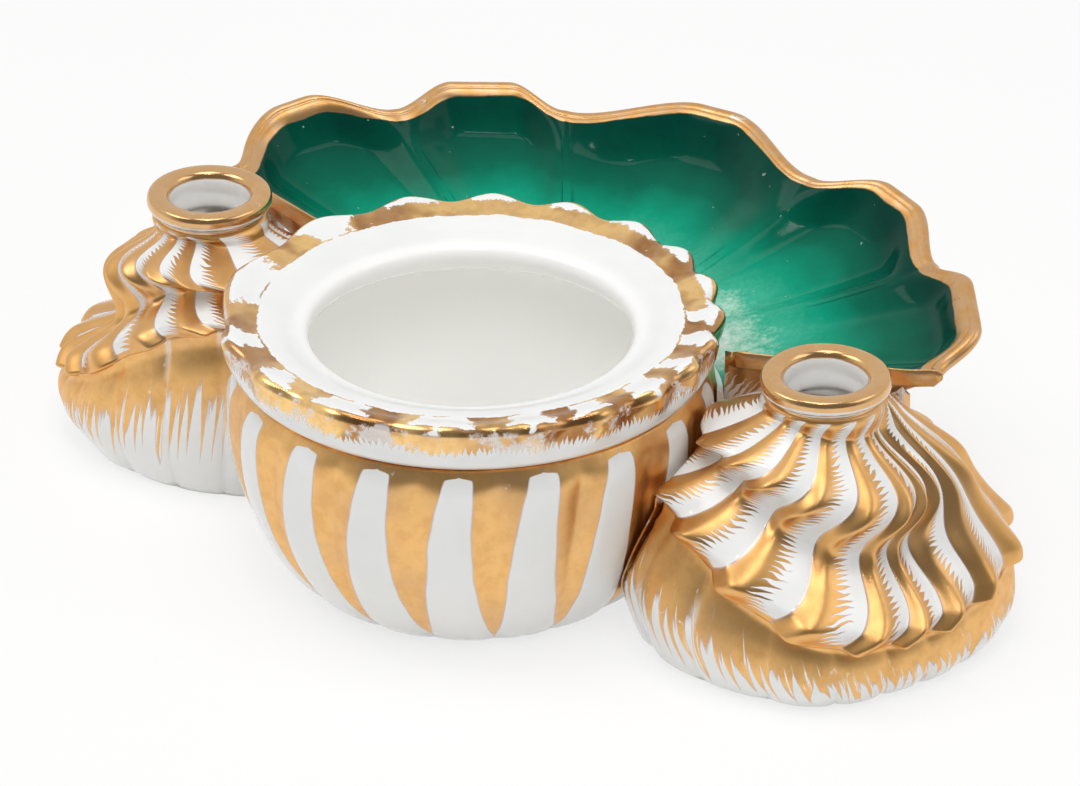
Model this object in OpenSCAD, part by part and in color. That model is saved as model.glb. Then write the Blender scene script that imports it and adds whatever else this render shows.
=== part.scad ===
// Desk inkstand in gilded porcelain: a fluted pot, two shell inkwells and a scallop tray.
// Millimetres. +X is right, +Y is towards the tray, +Z is up.
// The origin is the centre of the pot's foot, on the desk.

/* [Pot] */
// Height of the pot without its collar
pot_h = 57; // [54:1:62]
// Radius of the pot's flat foot
pot_foot_r = 41; // [37:1:44]
// Radius of the pot at its belly
pot_belly_r = 60.5; // [57:0.5:62]
// Height of the belly above the desk
pot_belly_z = 46; // [40:1:48]
// Radius of the pot under the collar
pot_neck_r = 57; // [56:0.5:58]
// Number of flutes round the pot
pot_flutes = 18; // [14:1:24]
// Depth of the grooves between the flutes
pot_groove = 1.6; // [0.6:0.2:2.2]
// Thickness of the pot's wall
pot_wall = 4; // [3:0.5:5]
// Thickness of the pot's floor
pot_floor = 6; // [4:0.5:9]

/* [Collar] */
// Height of the collar above the pot
collar_h = 14; // [13:0.5:16]
// Radius of the collar's lobed rim
rim_r = 61.7; // [60.5:0.1:62]
// How far the rim's lobes stand out
rim_lobe = 0.8; // [0.3:0.1:1.2]
// Number of lobes round the rim
rim_lobes = 18; // [12:1:24]
// Width of the rolled rim, from its edge to the ledge
rim_w = 8; // [6:0.5:9]
// Radius of the throat that takes the cover
throat_r = 39.7; // [36:0.1:42]
// Depth of the throat's straight wall
throat_h = 4.5; // [3:0.5:5]
// Drop of the ledge from the rim to the throat
ledge_drop = 2.6; // [1.5:0.1:3.5]

/* [Inkwells] */
// Distance of each mouth from the middle of the pot, sideways
well_x = 89.9; // [88:0.5:94]
// Distance of each mouth from the middle of the pot, backwards
well_y = 17.6; // [16:0.5:19]
// Widest reach of a shell from its mouth's axis
well_reach = 47; // [44:1:49]
// Height of the shoulder that carries the mouth ring
well_h = 65; // [62:1:67]
// Radius of the neck under the mouth ring
neck_r = 14.2; // [13.5:0.1:15]
// Highest point of the keel, beside the pot
keel_high = 42; // [38:1:44]
// Lowest point of the keel, at the front
keel_low = 16.5; // [14:0.5:19]
// How much higher the left shell carries its keel
left_keel_rise = 4; // [0:0.5:5]
// Number of ribs round a shell
well_ribs = 17; // [13:1:21]
// Height of the ribs at the keel
rib_h = 1.8; // [0.8:0.1:2.2]
// Turn of the ribs about the mouth, from the neck to the keel
rib_turn = 52; // [30:1:60]
// Swell of the ribs into knobs
knob = 0.13; // [0.04:0.01:0.16]
// Hollow of the shell's shoulder under the tray, as a share of its spread
tray_tuck = 0.16; // [0.14:0.01:0.2]
// Widest swell of a lower shell beyond its keel, beside the pot
well_swell = 8.5; // [4:0.5:10]
// How far the foot stands in from the keel
foot_inset = 4.5; // [3:0.5:7]
// Thickness of a shell's wall
well_wall = 4.5; // [3.5:0.5:6]
// Thickness of a shell's floor
well_floor = 5; // [4:0.5:8]

/* [Mouth rings] */
// Outer radius of a mouth ring
ring_r = 15.9; // [15.5:0.1:17]
// Thickness of a mouth ring
ring_h = 5.5; // [4.5:0.5:7]
// Radius of the bore through a mouth ring
mouth_r = 9.5; // [8.5:0.1:10]
// Length of the spigot that centres a ring in its neck
spigot_h = 4; // [2:0.5:5]
// Wall of the spigot
spigot_wall = 1.2; // [1:0.1:1.4]

/* [Tray] */
// Half of the tray's width, to its front corners
tray_half_w = 110.7; // [106:0.5:114]
// Distance of the front corners behind the pot's middle
tray_tip_y = 49; // [46:0.5:52]
// Height of the front edge
tray_front_z = 60.5; // [59:0.5:62]
// Height of the back rim at its dips
tray_back_z = 67.3; // [65:0.5:70]
// Distance of the middle dips behind the pot's middle
tray_dip_y = 109.5; // [105:0.5:114]
// Width of the middle lobe, from dip to dip
mid_lobe_w = 67; // [60:1:74]
// How far the middle lobe stands out
lobe_out = 18; // [14:0.5:20]
// How far the side lobes stand out
side_lobe_out = 15; // [11:0.5:17]
// How far the end lobes stand out
end_lobe_out = 8; // [5:0.5:10]
// How far the middle lobe's rim rises above its dips
mid_lobe_rise = 1.4; // [0:0.2:3]
// How far the side lobes' rims rise above their dips
side_lobe_rise = 3.2; // [0:0.2:3.6]
// How far the end lobes' rims rise above the front edge
end_lobe_rise = 2; // [0:0.2:3]
// How far the front corners are rounded off
corner_round = 3.5; // [0:0.5:5]
// Sweep of the front edges, in degrees
front_sweep = 19.4; // [16:0.2:21]
// Height of the dish at its centre
dish_z = 40; // [38:0.5:43]
// Distance of the dish's centre behind the pot's middle
dish_y = 45; // [43:1:47]
// Thickness of the tray's wall
tray_wall = 3.8; // [3:0.1:4.5]
// Width of the rolled lip
lip_w = 3.6; // [3:0.1:4.5]
// Width of the steep band inside the lip
steep_w = 9; // [6:0.5:12]

/* [Luting] */
// Gap between two pieces that are luted together
lute_gap = 1.8; // [1.4:0.1:2.4]
// Clearance between the slip and each piece it joins
clearance = 0.3; // [0.2:0.05:0.4]
// Middle of a shell's tray seat, as an angle round the mouth
seat_angle = 85; // [82:1:92]
// Spread of the tray seat round the mouth
seat_sweep = 16; // [10:1:24]
// Reach of the tray seat's near edge from the mouth's axis
seat_r = 28; // [27:0.5:30]
// Width of the tray seat
seat_w = 3; // [2:0.5:5]

/* [Hidden] */
// Stations along one lobe of the tray and along its front edge
lobe_steps = 10;
edge_steps = 7;
// Stations across one flute, lobe or rib
flute_steps = 6;
upper_steps = 6;
lower_steps = 6;
// Radius of the pot's inside under the collar
pot_bore_r = pot_neck_r - pot_groove - pot_wall;
// Outermost radius of the rim, on its lobes
rim_out_r = rim_r + rim_lobe;
// Keel angles that bound the joint between a shell and the pot
joint_front = 230;
joint_back = 150;
// Angle of the first rib's sharp edge
first_rib = -150;
// How far the ribs crowd together at the front, in degrees
rib_crowd = 10.5;
// Keel angles at which the front's steps have faded into the dome behind
right_fade = 12;
left_fade = 45;
// Depth at which the ribs' upper knobs sit, and the step to the next
knob_at = 0.42;
knob_step = 0.54;
// Depth of the hollow under the keel and of the flutes below it
keel_hollow = 1.6;
lower_flute = 0.9;
// Share of a lower shell's height over which its swell rounds off to the keel
swell_round = 0.6;
// Distance from a front corner at which its rounding has mostly died away
corner_reach = 6;
// Drop of the dish's floor under a lobe, and of its inner face below the rim
crest_drop = 3.5;
lip_drop = 0.8;
// Height of the rim at the dips beside the end lobes
outer_dip_z = tray_back_z - 0.5;
// Share of the dish's fall that is straight
dish_straight = 0.37;

// Helpers
function smooth(x) = let (c = min(max(x, 0), 1)) c * c * (3 - 2 * c);
function mix(a, b, k) = a + (b - a) * k;
function polar(r, a) = [r * cos(a), r * sin(a)];

// Value at angle a on a closed curve through evenly spaced control values
function round_curve(values, a) =
    let (
        n = len(values),
        p = ((a % 360) + 360) % 360 / 360 * n,
        i = floor(p),
        u = p - i,
        v0 = values[(i + n - 1) % n],
        v1 = values[i % n],
        v2 = values[(i + 1) % n],
        v3 = values[(i + 2) % n],
        m1 = (v2 - v0) / 2,
        m2 = (v3 - v1) / 2
    )
    (2 * u ^ 3 - 3 * u ^ 2 + 1) * v1 + (u ^ 3 - 2 * u ^ 2 + u) * m1
    + (-2 * u ^ 3 + 3 * u ^ 2) * v2 + (u ^ 3 - u ^ 2) * m2;

// Closed loft through rings of equal length; rings joined end to end when looped is true
module loft(rings, looped = false, flip = false) {
    n = len(rings[0]);
    m = len(rings);
    steps = looped ? m : m - 1;
    walls = [for (j = [0:steps - 1]) for (i = [0:n - 1])
        let (
            a = j * n + i,
            b = j * n + (i + 1) % n,
            c = ((j + 1) % m) * n + (i + 1) % n,
            d = ((j + 1) % m) * n + i
        )
        each [[a, b, c], [a, c, d]]];
    caps = looped ? [] : [[for (i = [n - 1:-1:0]) i], [for (i = [0:n - 1]) (m - 1) * n + i]];
    faces = concat(walls, caps);
    polyhedron(
        points = [for (r = rings) each r],
        faces = flip ? faces : [for (f = faces) [for (i = [len(f) - 1:-1:0]) f[i]]],
        convexity = 10
    );
}

// Pot
pot_curve = [
    [0, pot_foot_r],
    [4, mix(pot_foot_r, pot_belly_r, 0.26)],
    [pot_belly_z * 0.26, mix(pot_foot_r, pot_belly_r, 0.56)],
    [pot_belly_z * 0.48, mix(pot_foot_r, pot_belly_r, 0.795)],
    [pot_belly_z * 0.74, mix(pot_foot_r, pot_belly_r, 0.95)],
    [pot_belly_z, pot_belly_r],
    [mix(pot_belly_z, pot_h, 0.6), mix(pot_belly_r, pot_neck_r, 0.2)],
    [pot_h, pot_neck_r]
];
function pot_r(z) = lookup(z, pot_curve);
function pot_outer(a, z) =
    let (swell = abs(sin(pot_flutes / 2 * (a + 90))))
    pot_r(z) - pot_groove * (1 - swell) ^ 1.5 * smooth(z / 8) * smooth((pot_h + 2 - z) / 12);

module pot_body() {
    steps = pot_flutes * flute_steps;
    color("ghostwhite")
    difference() {
        loft([for (p = pot_curve) [for (i = [0:steps - 1])
            let (a = i * 360 / steps, r = pot_outer(a, p[0]))
            [r * cos(a), r * sin(a), p[0]]]]);
        rotate_extrude($fn = 96)
        polygon(concat(
            [[0, pot_h + 1], [0, pot_floor], [pot_foot_r - pot_wall, pot_floor]],
            [for (p = pot_curve) if (p[0] > pot_floor + 2) [p[1] - pot_groove - pot_wall, p[0]]],
            [[pot_bore_r, pot_h + 1]]
        ));
    }
}

// Collar
rim_z = pot_h + collar_h;
ledge_r = rim_r - rim_w;
ledge_z = rim_z - 2;
throat_z = ledge_z - ledge_drop;
function rim_wave(a) = cos(rim_lobes * (a + 90) + 180);

module pot_collar() {
    steps = rim_lobes * flute_steps;
    // Outer face of the collar: height above the pot, radius, share of the lobes' wave
    face = [
        [0, pot_neck_r, 0],
        [collar_h * 0.1, mix(pot_neck_r, rim_r, 0.45), 0],
        [collar_h * 0.5, mix(pot_neck_r, rim_r, 0.85), 0.4],
        [collar_h * 0.82, rim_r, 1],
        [collar_h * 0.95, rim_r - 0.6, 1],
        [collar_h, rim_r - 2.5, 1]
    ];
    color("peru")
    difference() {
        loft([for (f = face) [for (i = [0:steps - 1])
            let (
                a = i * 360 / steps,
                wave = rim_wave(a) * f[2],
                r = f[1] + rim_lobe * wave
            )
            [r * cos(a), r * sin(a), pot_h + f[0]]]]);
        rotate_extrude($fn = 96)
        polygon([
            [0, rim_z + 1],
            [rim_r - 4.5, rim_z + 1],
            [rim_r - 5, rim_z - 0.3],
            [ledge_r, ledge_z],
            [throat_r + 2.2, throat_z + 0.2],
            [throat_r + 0.6, throat_z - 0.5],
            [throat_r, throat_z - 1.8],
            [throat_r, throat_z - 1.8 - throat_h],
            [pot_bore_r, pot_h],
            [pot_bore_r, pot_h - 1],
            [0, pot_h - 1]
        ]);
    }
}

// Inkwells
// Plan of the keel, as shares of its widest reach, every 30 degrees from +X
right_plan = [0.915, 1, 0.98, 0.945, 0.915, 0.925, 0.93, 0.87, 0.825, 0.85, 0.905, 0.86];
left_plan = [0.915, 0.98, 0.98, 0.945, 0.915, 0.915, 0.915, 0.85, 0.745, 0.715, 0.78, 0.85];
// Height of the keel, from its lowest point (0) to its highest (1)
right_rise = [0.1, 0.22, 0.24, 0.25, 0.38, 0.62, 0.85, 1, 0.78, 0.41, 0.1, 0];
left_rise = [0.03, 0.12, 0.17, 0.22, 0.42, 0.7, 0.9, 1, 0.93, 0.66, 0.27, 0.03];
// Swell of the lower shell beyond the keel, as a share of the widest swell
right_swell = [0, 0, 0, 0, 0, 0.12, 0.6, 1, 1, 0.5, 0.18, 0.06];
left_swell = [0, 0, 0, 0, 0, 0.06, 0.18, 0.24, 0.24, 0.2, 0.12, 0.04];
well_ax = norm([well_x, well_y]);

function lower_swell(side, tk, v) =
    let (share = max(0, round_curve(side > 0 ? right_swell : left_swell, tk)))
    well_swell * share * sin(90 * min(1, (1 - v) / swell_round));
function reach(side, tk) = well_reach * round_curve(side > 0 ? right_plan : left_plan, tk);
function keel_z(side, tk) =
    mix(keel_low, keel_high + (side > 0 ? 0 : left_keel_rise),
        max(0, round_curve(side > 0 ? right_rise : left_rise, tk)));

// Keel angle of rib position c, where whole numbers are the ribs' sharp edges
function keel_angle(c) =
    let (a = first_rib + c * 360 / well_ribs)
    a + rib_crowd * exp(-(((a + 66) / 38) ^ 2));

// Angle by which a rib has turned at the neck
function neck_turn(tk) =
    tk < 155
    ? rib_turn / 2 * (1 - cos(min(max((40 - tk) * 2, 0), 180)))
    : rib_turn * smooth((tk - 155) / 50);

// Distance along the ray at angle a from a mouth's axis to the pot, grown by gap
function to_pot(a, z, gap) =
    let (
        rho = (z > pot_h ? rim_out_r : pot_r(z)) + gap,
        b = well_x * cos(a) + well_y * sin(a),
        q = b * b - well_ax ^ 2 + rho ^ 2
    )
    q < 0 || b > 0 ? 1000 : -b - sqrt(q);

// Share of the way from the neck to the keel at which the shell stands out, at depth t
function bell(side, tk, t) =
    let (
        front = smooth(((side > 0 ? right_fade : left_fade) - tk) / 40),
        back = smooth((tk - 40) / 40),
        stepped = tk > 150 ? mix(0.6, 1, smooth((tk - 180) / 25)) : max(0.15 + 0.85 * front, 0.5 * back),
        dome = 0.7 * sin(t * 90) + 0.3 * t,
        ends = min(t / 0.15, 1) * min(max((1.02 - t) / 0.1, 0), 1),
        tier = knob * cos(360 * (t - knob_at) / knob_step) * ends,
        tuck = tray_tuck * smooth((tk - 72) / 40) * smooth((170 - tk) / 25) * sin(180 * t)
    )
    mix(dome, t + tier - 0.06 * sin(180 * t), stepped) - tuck;

// Height of the relief across one rib: steep at its sharp edge, easing off to the next
function rib(c) =
    let (u = c - floor(c))
    u < 0.3 ? smooth(u / 0.3) : 1 - 0.8 * smooth((u - 0.3) / 0.7);

function upper_point(side, c, t, inset = 0) =
    let (
        tk = keel_angle(c),
        q = t + 0.8 / (4 * PI) * sin(720 * t),
        a = tk + neck_turn(tk) * (1 - q),
        z = mix(well_h, keel_z(side, tk), t),
        full = mix(neck_r, reach(side, tk), bell(side, tk, t)),
        relief = inset > 0 ? 0 : rib_h * (rib(c) - 0.5) * smooth(t / 0.6) * mix(0.4, 1, t),
        gap = inset > 0 ? lute_gap + inset : lute_gap,
        r = min(full + relief - inset, to_pot(a, z, gap))
    )
    [side * (well_x + r * cos(a)), well_y + r * sin(a), z];

function lower_point(side, c, v, z, inset = 0) =
    let (
        tk = keel_angle(c),
        round = 1 - sin(90 * min(v / 0.5, 1)),
        hollow = keel_hollow * exp(-(((v - 0.86) / 0.07) ^ 2)),
        flute = lower_flute * (1 - abs(sin(180 * c))) ^ 2 * (1 - v * 0.6),
        body = reach(side, tk) + lower_swell(side, tk, v) - foot_inset * round,
        full = body - (inset > 0 ? inset : hollow + flute),
        gap = inset > 0 ? lute_gap + inset : lute_gap,
        r = min(full, to_pot(tk, z, gap))
    )
    [side * (well_x + r * cos(tk)), well_y + r * sin(tk), z];

module well_upper(side) {
    cols = well_ribs * upper_steps;
    outer = [for (t = [0, 0.1, 0.2, 0.31, 0.42, 0.53, 0.64, 0.75, 0.85, 0.93, 1]) [for (i = [0:cols - 1])
        upper_point(side, i / upper_steps, t)]];
    inner = [for (t = [1, 0.75, 0.5, 0.28, 0.14]) [for (i = [0:cols - 1])
        upper_point(side, i / upper_steps, t, well_wall)]];
    throat = [for (z = [well_h - spigot_h - 1, well_h]) [for (i = [0:cols - 1])
        let (tk = keel_angle(i / upper_steps), a = tk + neck_turn(tk), r = mouth_r + spigot_wall + clearance)
        [side * (well_x + r * cos(a)), well_y + r * sin(a), z]]];
    loft(concat(outer, inner, throat), looped = true, flip = side < 0);
}

module well_lower(side) {
    cols = well_ribs * lower_steps;
    outer = [for (v = [0, 0.08, 0.2, 0.4, 0.6, 0.78, 0.86, 0.94, 1]) [for (i = [0:cols - 1])
        lower_point(side, i / lower_steps, v, v * keel_z(side, keel_angle(i / lower_steps)))]];
    inner = [for (v = [1, 0.66, 0.33, 0]) [for (i = [0:cols - 1])
        let (k = keel_z(side, keel_angle(i / lower_steps)), z = mix(well_floor, k, v))
        lower_point(side, i / lower_steps, z / k, z, well_wall)]];
    loft(concat(outer, inner), flip = side > 0);
}

module right_well_lower() { color("ghostwhite") well_lower(1); }
module right_well_upper() { color("goldenrod") well_upper(1); }
module left_well_lower() { color("ghostwhite") well_lower(-1); }
module left_well_upper() { color("goldenrod") well_upper(-1); }

// Mouth rings
module mouth_ring(side) {
    spigot_r = mouth_r + spigot_wall;
    translate([side * well_x, well_y, well_h])
    rotate_extrude($fn = 64)
    polygon([
        [mouth_r, -spigot_h],
        [spigot_r, -spigot_h],
        [spigot_r, 0],
        [neck_r - 0.4, 0],
        [neck_r - 0.7, ring_h * 0.18],
        [ring_r - 0.8, ring_h * 0.32],
        [ring_r, ring_h * 0.5],
        [ring_r, ring_h * 0.75],
        [ring_r - 0.5, ring_h * 0.93],
        [ring_r - 1.4, ring_h],
        [mouth_r + 1.7, ring_h],
        [mouth_r + 0.5, ring_h * 0.9],
        [mouth_r, ring_h * 0.7]
    ]);
}
module right_mouth_ring() { color("tan") mouth_ring(1); }
module left_mouth_ring() { color("tan") mouth_ring(-1); }

// Tray
// Dip between the end and side lobes, and between the side and middle lobes
outer_dip = [tray_half_w * 0.732, mix(tray_tip_y, tray_dip_y, 0.63)];
middle_dip = [mid_lobe_w / 2, tray_dip_y];
tip = [tray_half_w, tray_tip_y];
dish_c = [0, dish_y];
tray_inner_r = pot_belly_r + lute_gap;
front_dir = [cos(front_sweep), sin(front_sweep)];
tip_run = norm(tip - dish_c);
// Start of the front edge, just outside the collar
front_b = tip * front_dir;
front_c = tip * tip - (rim_out_r + 3) ^ 2;
front_start = tip - (front_b - sqrt(front_b * front_b - front_c)) * front_dir;

// Share of a lobe's full reach at share v of its width: smooth dips and a flat top
function lobe(v) = smooth(min(v, 1 - v) / 0.38);

// Plan point p, drawn in towards the dish's centre where it lies near the front corner
function rounded(p) =
    let (v = p - dish_c)
    p - v / norm(v) * corner_round * exp(-((norm(p - tip) / corner_reach) ^ 2));

// Edge stations, each [x, y, rim height, 1 on a lobe's crest, 1 on the front edge]
function lobe_edge(a, b, za, zb, out, rise, count) =
    let (d = b - a, n = [d[1], -d[0]] / norm(d))
    [for (i = [0:count - 1])
        let (v = i / count, s = lobe(v), p = rounded(a + d * v + n * out * s))
        [p[0], p[1], mix(za, zb, smooth(v)) + rise * s, s, 0]];
function flip_edge(e) = [for (i = [len(e) - 1:-1:0]) [-e[i][0], e[i][1], e[i][2], e[i][3], e[i][4]]];
front_edge = [for (i = [0:edge_steps - 1])
    let (p = rounded(front_start + (tip - front_start) * i / edge_steps))
    [p[0], p[1], tray_front_z, 0, 1]];
half_edge = concat(
    front_edge,
    lobe_edge(tip, outer_dip, tray_front_z, outer_dip_z, end_lobe_out, end_lobe_rise, lobe_steps),
    lobe_edge(outer_dip, middle_dip, outer_dip_z, tray_back_z, side_lobe_out, side_lobe_rise, lobe_steps)
);
left_dip = [-middle_dip[0], middle_dip[1]];
mid_edge = lobe_edge(middle_dip, left_dip, tray_back_z, tray_back_z, lobe_out, mid_lobe_rise, lobe_steps);
tray_edge = concat(half_edge, mid_edge, [[each left_dip, tray_back_z, 0, 0]], flip_edge(half_edge));

// Height of the dish's floor at reach r, where the rim is at reach full and height rim
function dish_floor(r, full, rim) =
    let (t = r / full)
    dish_z + (rim - dish_z) * (dish_straight * t + (1 - dish_straight) * t * t);

// Height of the glazed inner face at reach r on a section with the given edge
function dish_top(r, edge_r, rim, crest, front) =
    let (
        full = front > 0 ? tip_run : edge_r,
        drop = crest * crest_drop,
        inner = edge_r - lip_w,
        low = dish_floor(r, full, rim - drop),
        rise = rim - lip_drop - dish_floor(inner, full, rim - drop)
    )
    low + rise * smooth(1 - (inner - r) / steep_w);

// Slope of that face, in degrees
function dish_slope(r, edge_r, rim, crest, front) =
    atan((dish_top(r + 0.2, edge_r, rim, crest, front) - dish_top(r - 0.6, edge_r, rim, crest, front)) / 0.8);

// Reach along direction d from the dish's centre to the circle of radius rho about the pot
function pot_reach(d, rho) =
    let (b = dish_c * d, c = dish_c * dish_c - rho * rho)
    -b + sqrt(b * b - c);

function tray_section(e) =
    let (
        p = [e[0], e[1]] - dish_c,
        edge_r = norm(p),
        d = p / edge_r,
        start = pot_reach(d, tray_inner_r),
        inner = max(edge_r - lip_w, mix(start, edge_r, 0.5)),
        rim = e[2],
        shares = [0, 0.25, 0.5, 0.7, 0.84, 0.91, 0.96, 1],
        top = [for (s = shares) let (r = mix(start, inner, s)) [r, dish_top(r, edge_r, rim, e[3], e[4])]],
        lip = [
            [mix(inner, edge_r, 0.35), rim],
            [mix(inner, edge_r, 0.75), rim],
            [edge_r, rim - lip_w * 0.4],
            [edge_r - 0.2, rim - lip_w * 0.85]
        ],
        under = [for (i = [len(shares) - 1:-1:0])
            let (
                r = mix(start, inner, shares[i]),
                a = dish_slope(r, edge_r, rim, e[3], e[4])
            )
            [
                min(r + tray_wall * sin(a) * shares[i], edge_r - 0.7),
                dish_top(r, edge_r, rim, e[3], e[4]) - tray_wall * cos(a)
            ]]
    )
    [for (q = concat(top, lip, under)) [dish_c[0] + d[0] * q[0], dish_c[1] + d[1] * q[0], q[1]]];

module scallop_tray() {
    color("seagreen")
    loft([for (e = tray_edge) tray_section(e)]);
}

// Luting seams
// Slip between the pot and the tray, following the dish's floor
module tray_pot_seam() {
    first = atan2(front_start[1], front_start[0]) + 1.5;
    steps = 30;
    color("ghostwhite")
    loft([for (i = [0:steps])
        let (
            a = mix(first, 180 - first, i / steps),
            p = polar(tray_inner_r, a),
            z = dish_floor(norm(p - dish_c), tip_run, tray_front_z),
            low = z - tray_wall - 1,
            high = z + 1.2,
            loop = [
                [pot_r(low) + clearance, low],
                [tray_inner_r - clearance, low],
                [tray_inner_r - clearance, high],
                [pot_r(high + 0.8) + clearance, high + 0.8]
            ]
        )
        [for (q = loop) [q[0] * cos(a), q[0] * sin(a), q[1]]]]);
}

// Reach of a shell at height z near the pot, on the side seen at keel angle tk
function side_reach(side, tk, z) =
    let (
        k = keel_z(side, tk),
        full = reach(side, tk),
        t = (well_h - z) / (well_h - k)
    )
    z < k
    ? full + lower_swell(side, tk, z / k) - foot_inset * (1 - sin(90 * min(z / k / 0.5, 1)))
    : mix(neck_r, full, bell(side, tk, t));

// Angle round the pot between the line to a mouth and the end of the contact at height z
function contact(side, tk, z) =
    let (
        rho = pot_r(z) + lute_gap,
        share = (rho ^ 2 + well_ax ^ 2 - side_reach(side, tk, z) ^ 2) / (2 * rho * well_ax)
    )
    acos(min(share, 1));

// Slip between the pot and a shell, as tall as their contact
module pot_seam(side) {
    middle = atan2(well_y, well_x);
    rows = 14;
    cols = 12;
    low = [for (z = [1:0.5:pot_h]) if (min(contact(side, joint_front, z), contact(side, joint_back, z)) > 4) z];
    color("ghostwhite")
    loft([for (j = [0:rows])
        let (
            z = mix(low[0], low[len(low) - 1], j / rows),
            front = middle - contact(side, joint_front, z) - 0.8,
            back = middle + contact(side, joint_back, z) + 0.8
        )
        concat(
            [for (i = [0:cols]) let (a = mix(front, back, i / cols), r = pot_r(z) + clearance)
                [side * r * cos(a), r * sin(a), z]],
            [for (i = [cols:-1:0])
                let (
                    a = mix(front, back, i / cols),
                    r = pot_r(z) + mix(clearance + 0.5, lute_gap - clearance, min(1, 2 * min(i, cols - i)))
                )
                [side * r * cos(a), r * sin(a), z]]
        )], flip = side > 0);
}
module right_pot_seam() { pot_seam(1); }
module left_pot_seam() { pot_seam(-1); }

// Height of the tray's underside above the plan point p, behind the front edge
function tray_under(p) =
    let (
        v = p - dish_c,
        r = norm(v),
        d = v / r,
        n = [-front_dir[1], front_dir[0]],
        edge_r = ((tip - dish_c) * n) / (d * n),
        a = dish_slope(r, edge_r, tray_front_z, 0, 1),
        a2 = dish_slope(r - tray_wall * sin(a), edge_r, tray_front_z, 0, 1)
    )
    dish_top(r - tray_wall * sin(a2), edge_r, tray_front_z, 0, 1) - tray_wall * cos(a2);

// Height of a shell's shoulder at keel angle tk and reach r, ribs included
function shoulder_z(side, tk, r) =
    lookup(r - rib_h / 3, [for (t = [0:0.04:0.9])
        [mix(neck_r, reach(side, tk), bell(side, tk, t)), mix(well_h, keel_z(side, tk), t)]]);

// Pad of slip on a shell's shoulder, under the tray
module tray_seat(side) {
    rows = 4;
    cols = 8;
    color("ghostwhite")
    loft([for (i = [0:cols])
        let (
            a = seat_angle + seat_sweep * (i / cols - 0.5),
            line = [for (j = [0:rows])
                let (r = seat_r + seat_w * j / rows)
                [well_x + r * cos(a), well_y + r * sin(a), r]],
            top = [for (p = line) [side * p[0], p[1], tray_under([p[0], p[1]]) - clearance]],
            foot = [for (p = line) [side * p[0], p[1], shoulder_z(side, a, p[2]) + clearance]]
        )
        concat(top, [for (j = [rows:-1:0]) foot[j]])], flip = side < 0);
}
module right_tray_seat() { tray_seat(1); }
module left_tray_seat() { tray_seat(-1); }

pot_body();
pot_collar();
scallop_tray();
tray_pot_seam();
right_well_lower();
right_well_upper();
right_mouth_ring();
right_pot_seam();
right_tray_seat();
left_well_lower();
left_well_upper();
left_mouth_ring();
left_pot_seam();
left_tray_seat();
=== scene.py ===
# %% [markdown]
# # A porcelain desk inkstand
# The object is fired pottery: a fluted pot in the middle, a shell inkwell on each side and a scallop pen
# tray behind. Everything is white porcelain under a clear glaze, painted with gold and, in the tray, with
# a green ground. The CAD model is the frame, and each piece here stands where its CAD node stands.

# %% Load the frame
import math

import bmesh
import bpy
import numpy as np
from mathutils import Matrix, Vector


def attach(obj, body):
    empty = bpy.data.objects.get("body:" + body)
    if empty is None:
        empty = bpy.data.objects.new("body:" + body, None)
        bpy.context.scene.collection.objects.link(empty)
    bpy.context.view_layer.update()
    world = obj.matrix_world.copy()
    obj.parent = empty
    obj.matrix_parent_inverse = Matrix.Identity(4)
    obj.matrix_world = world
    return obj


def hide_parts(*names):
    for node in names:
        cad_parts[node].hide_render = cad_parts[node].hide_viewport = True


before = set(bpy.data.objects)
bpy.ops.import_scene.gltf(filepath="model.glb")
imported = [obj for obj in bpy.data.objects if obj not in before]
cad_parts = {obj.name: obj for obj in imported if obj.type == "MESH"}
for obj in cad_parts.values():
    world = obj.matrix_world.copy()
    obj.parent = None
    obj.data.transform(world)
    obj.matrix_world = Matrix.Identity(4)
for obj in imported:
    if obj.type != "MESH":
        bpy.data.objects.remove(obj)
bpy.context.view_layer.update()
MM = 0.001
scene = bpy.context.scene
scene.view_settings.view_transform = "Standard"

# %% [markdown]
# ## The camera
# The camera comes first, because every shape is judged through it. It stands 32 degrees round to the
# right and 29 degrees up, far away with a long lens, so parallel edges stay nearly parallel.

# %% Camera
view_turn = math.radians(32)
view_rise = math.radians(29)
view_distance = 1.59058
lens_mm = 216.67
sensor_mm = 36
aim_right = 16.885 * MM
aim_down = 21.289 * MM
rim_top = 71 * MM

to_right = Vector((math.cos(view_turn), math.sin(view_turn), 0))
to_camera = Vector((
    math.sin(view_turn) * math.cos(view_rise),
    -math.cos(view_turn) * math.cos(view_rise),
    math.sin(view_rise),
))
to_top = to_camera.cross(to_right)
aim = Vector((0, 0, rim_top)) + to_right * aim_right - to_top * aim_down
camera_data = bpy.data.cameras.new("camera")
camera_data.lens = lens_mm
camera_data.sensor_width = sensor_mm
camera_data.clip_end = 20
camera = bpy.data.objects.new("camera", camera_data)
camera.matrix_world = Matrix.Translation(aim + to_camera * view_distance) @ Matrix(
    (to_right, to_top, to_camera)).transposed().to_4x4()
scene.collection.objects.link(camera)
scene.camera = camera
print("camera at", [round(x, 3) for x in camera.location])

# %% [markdown]
# ## Nodes with short names
# A painted pot is one glaze with a few masks: where the gold lies, and where it has worn off. A small
# class keeps the node trees readable, because each mask is a line of arithmetic.


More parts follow.
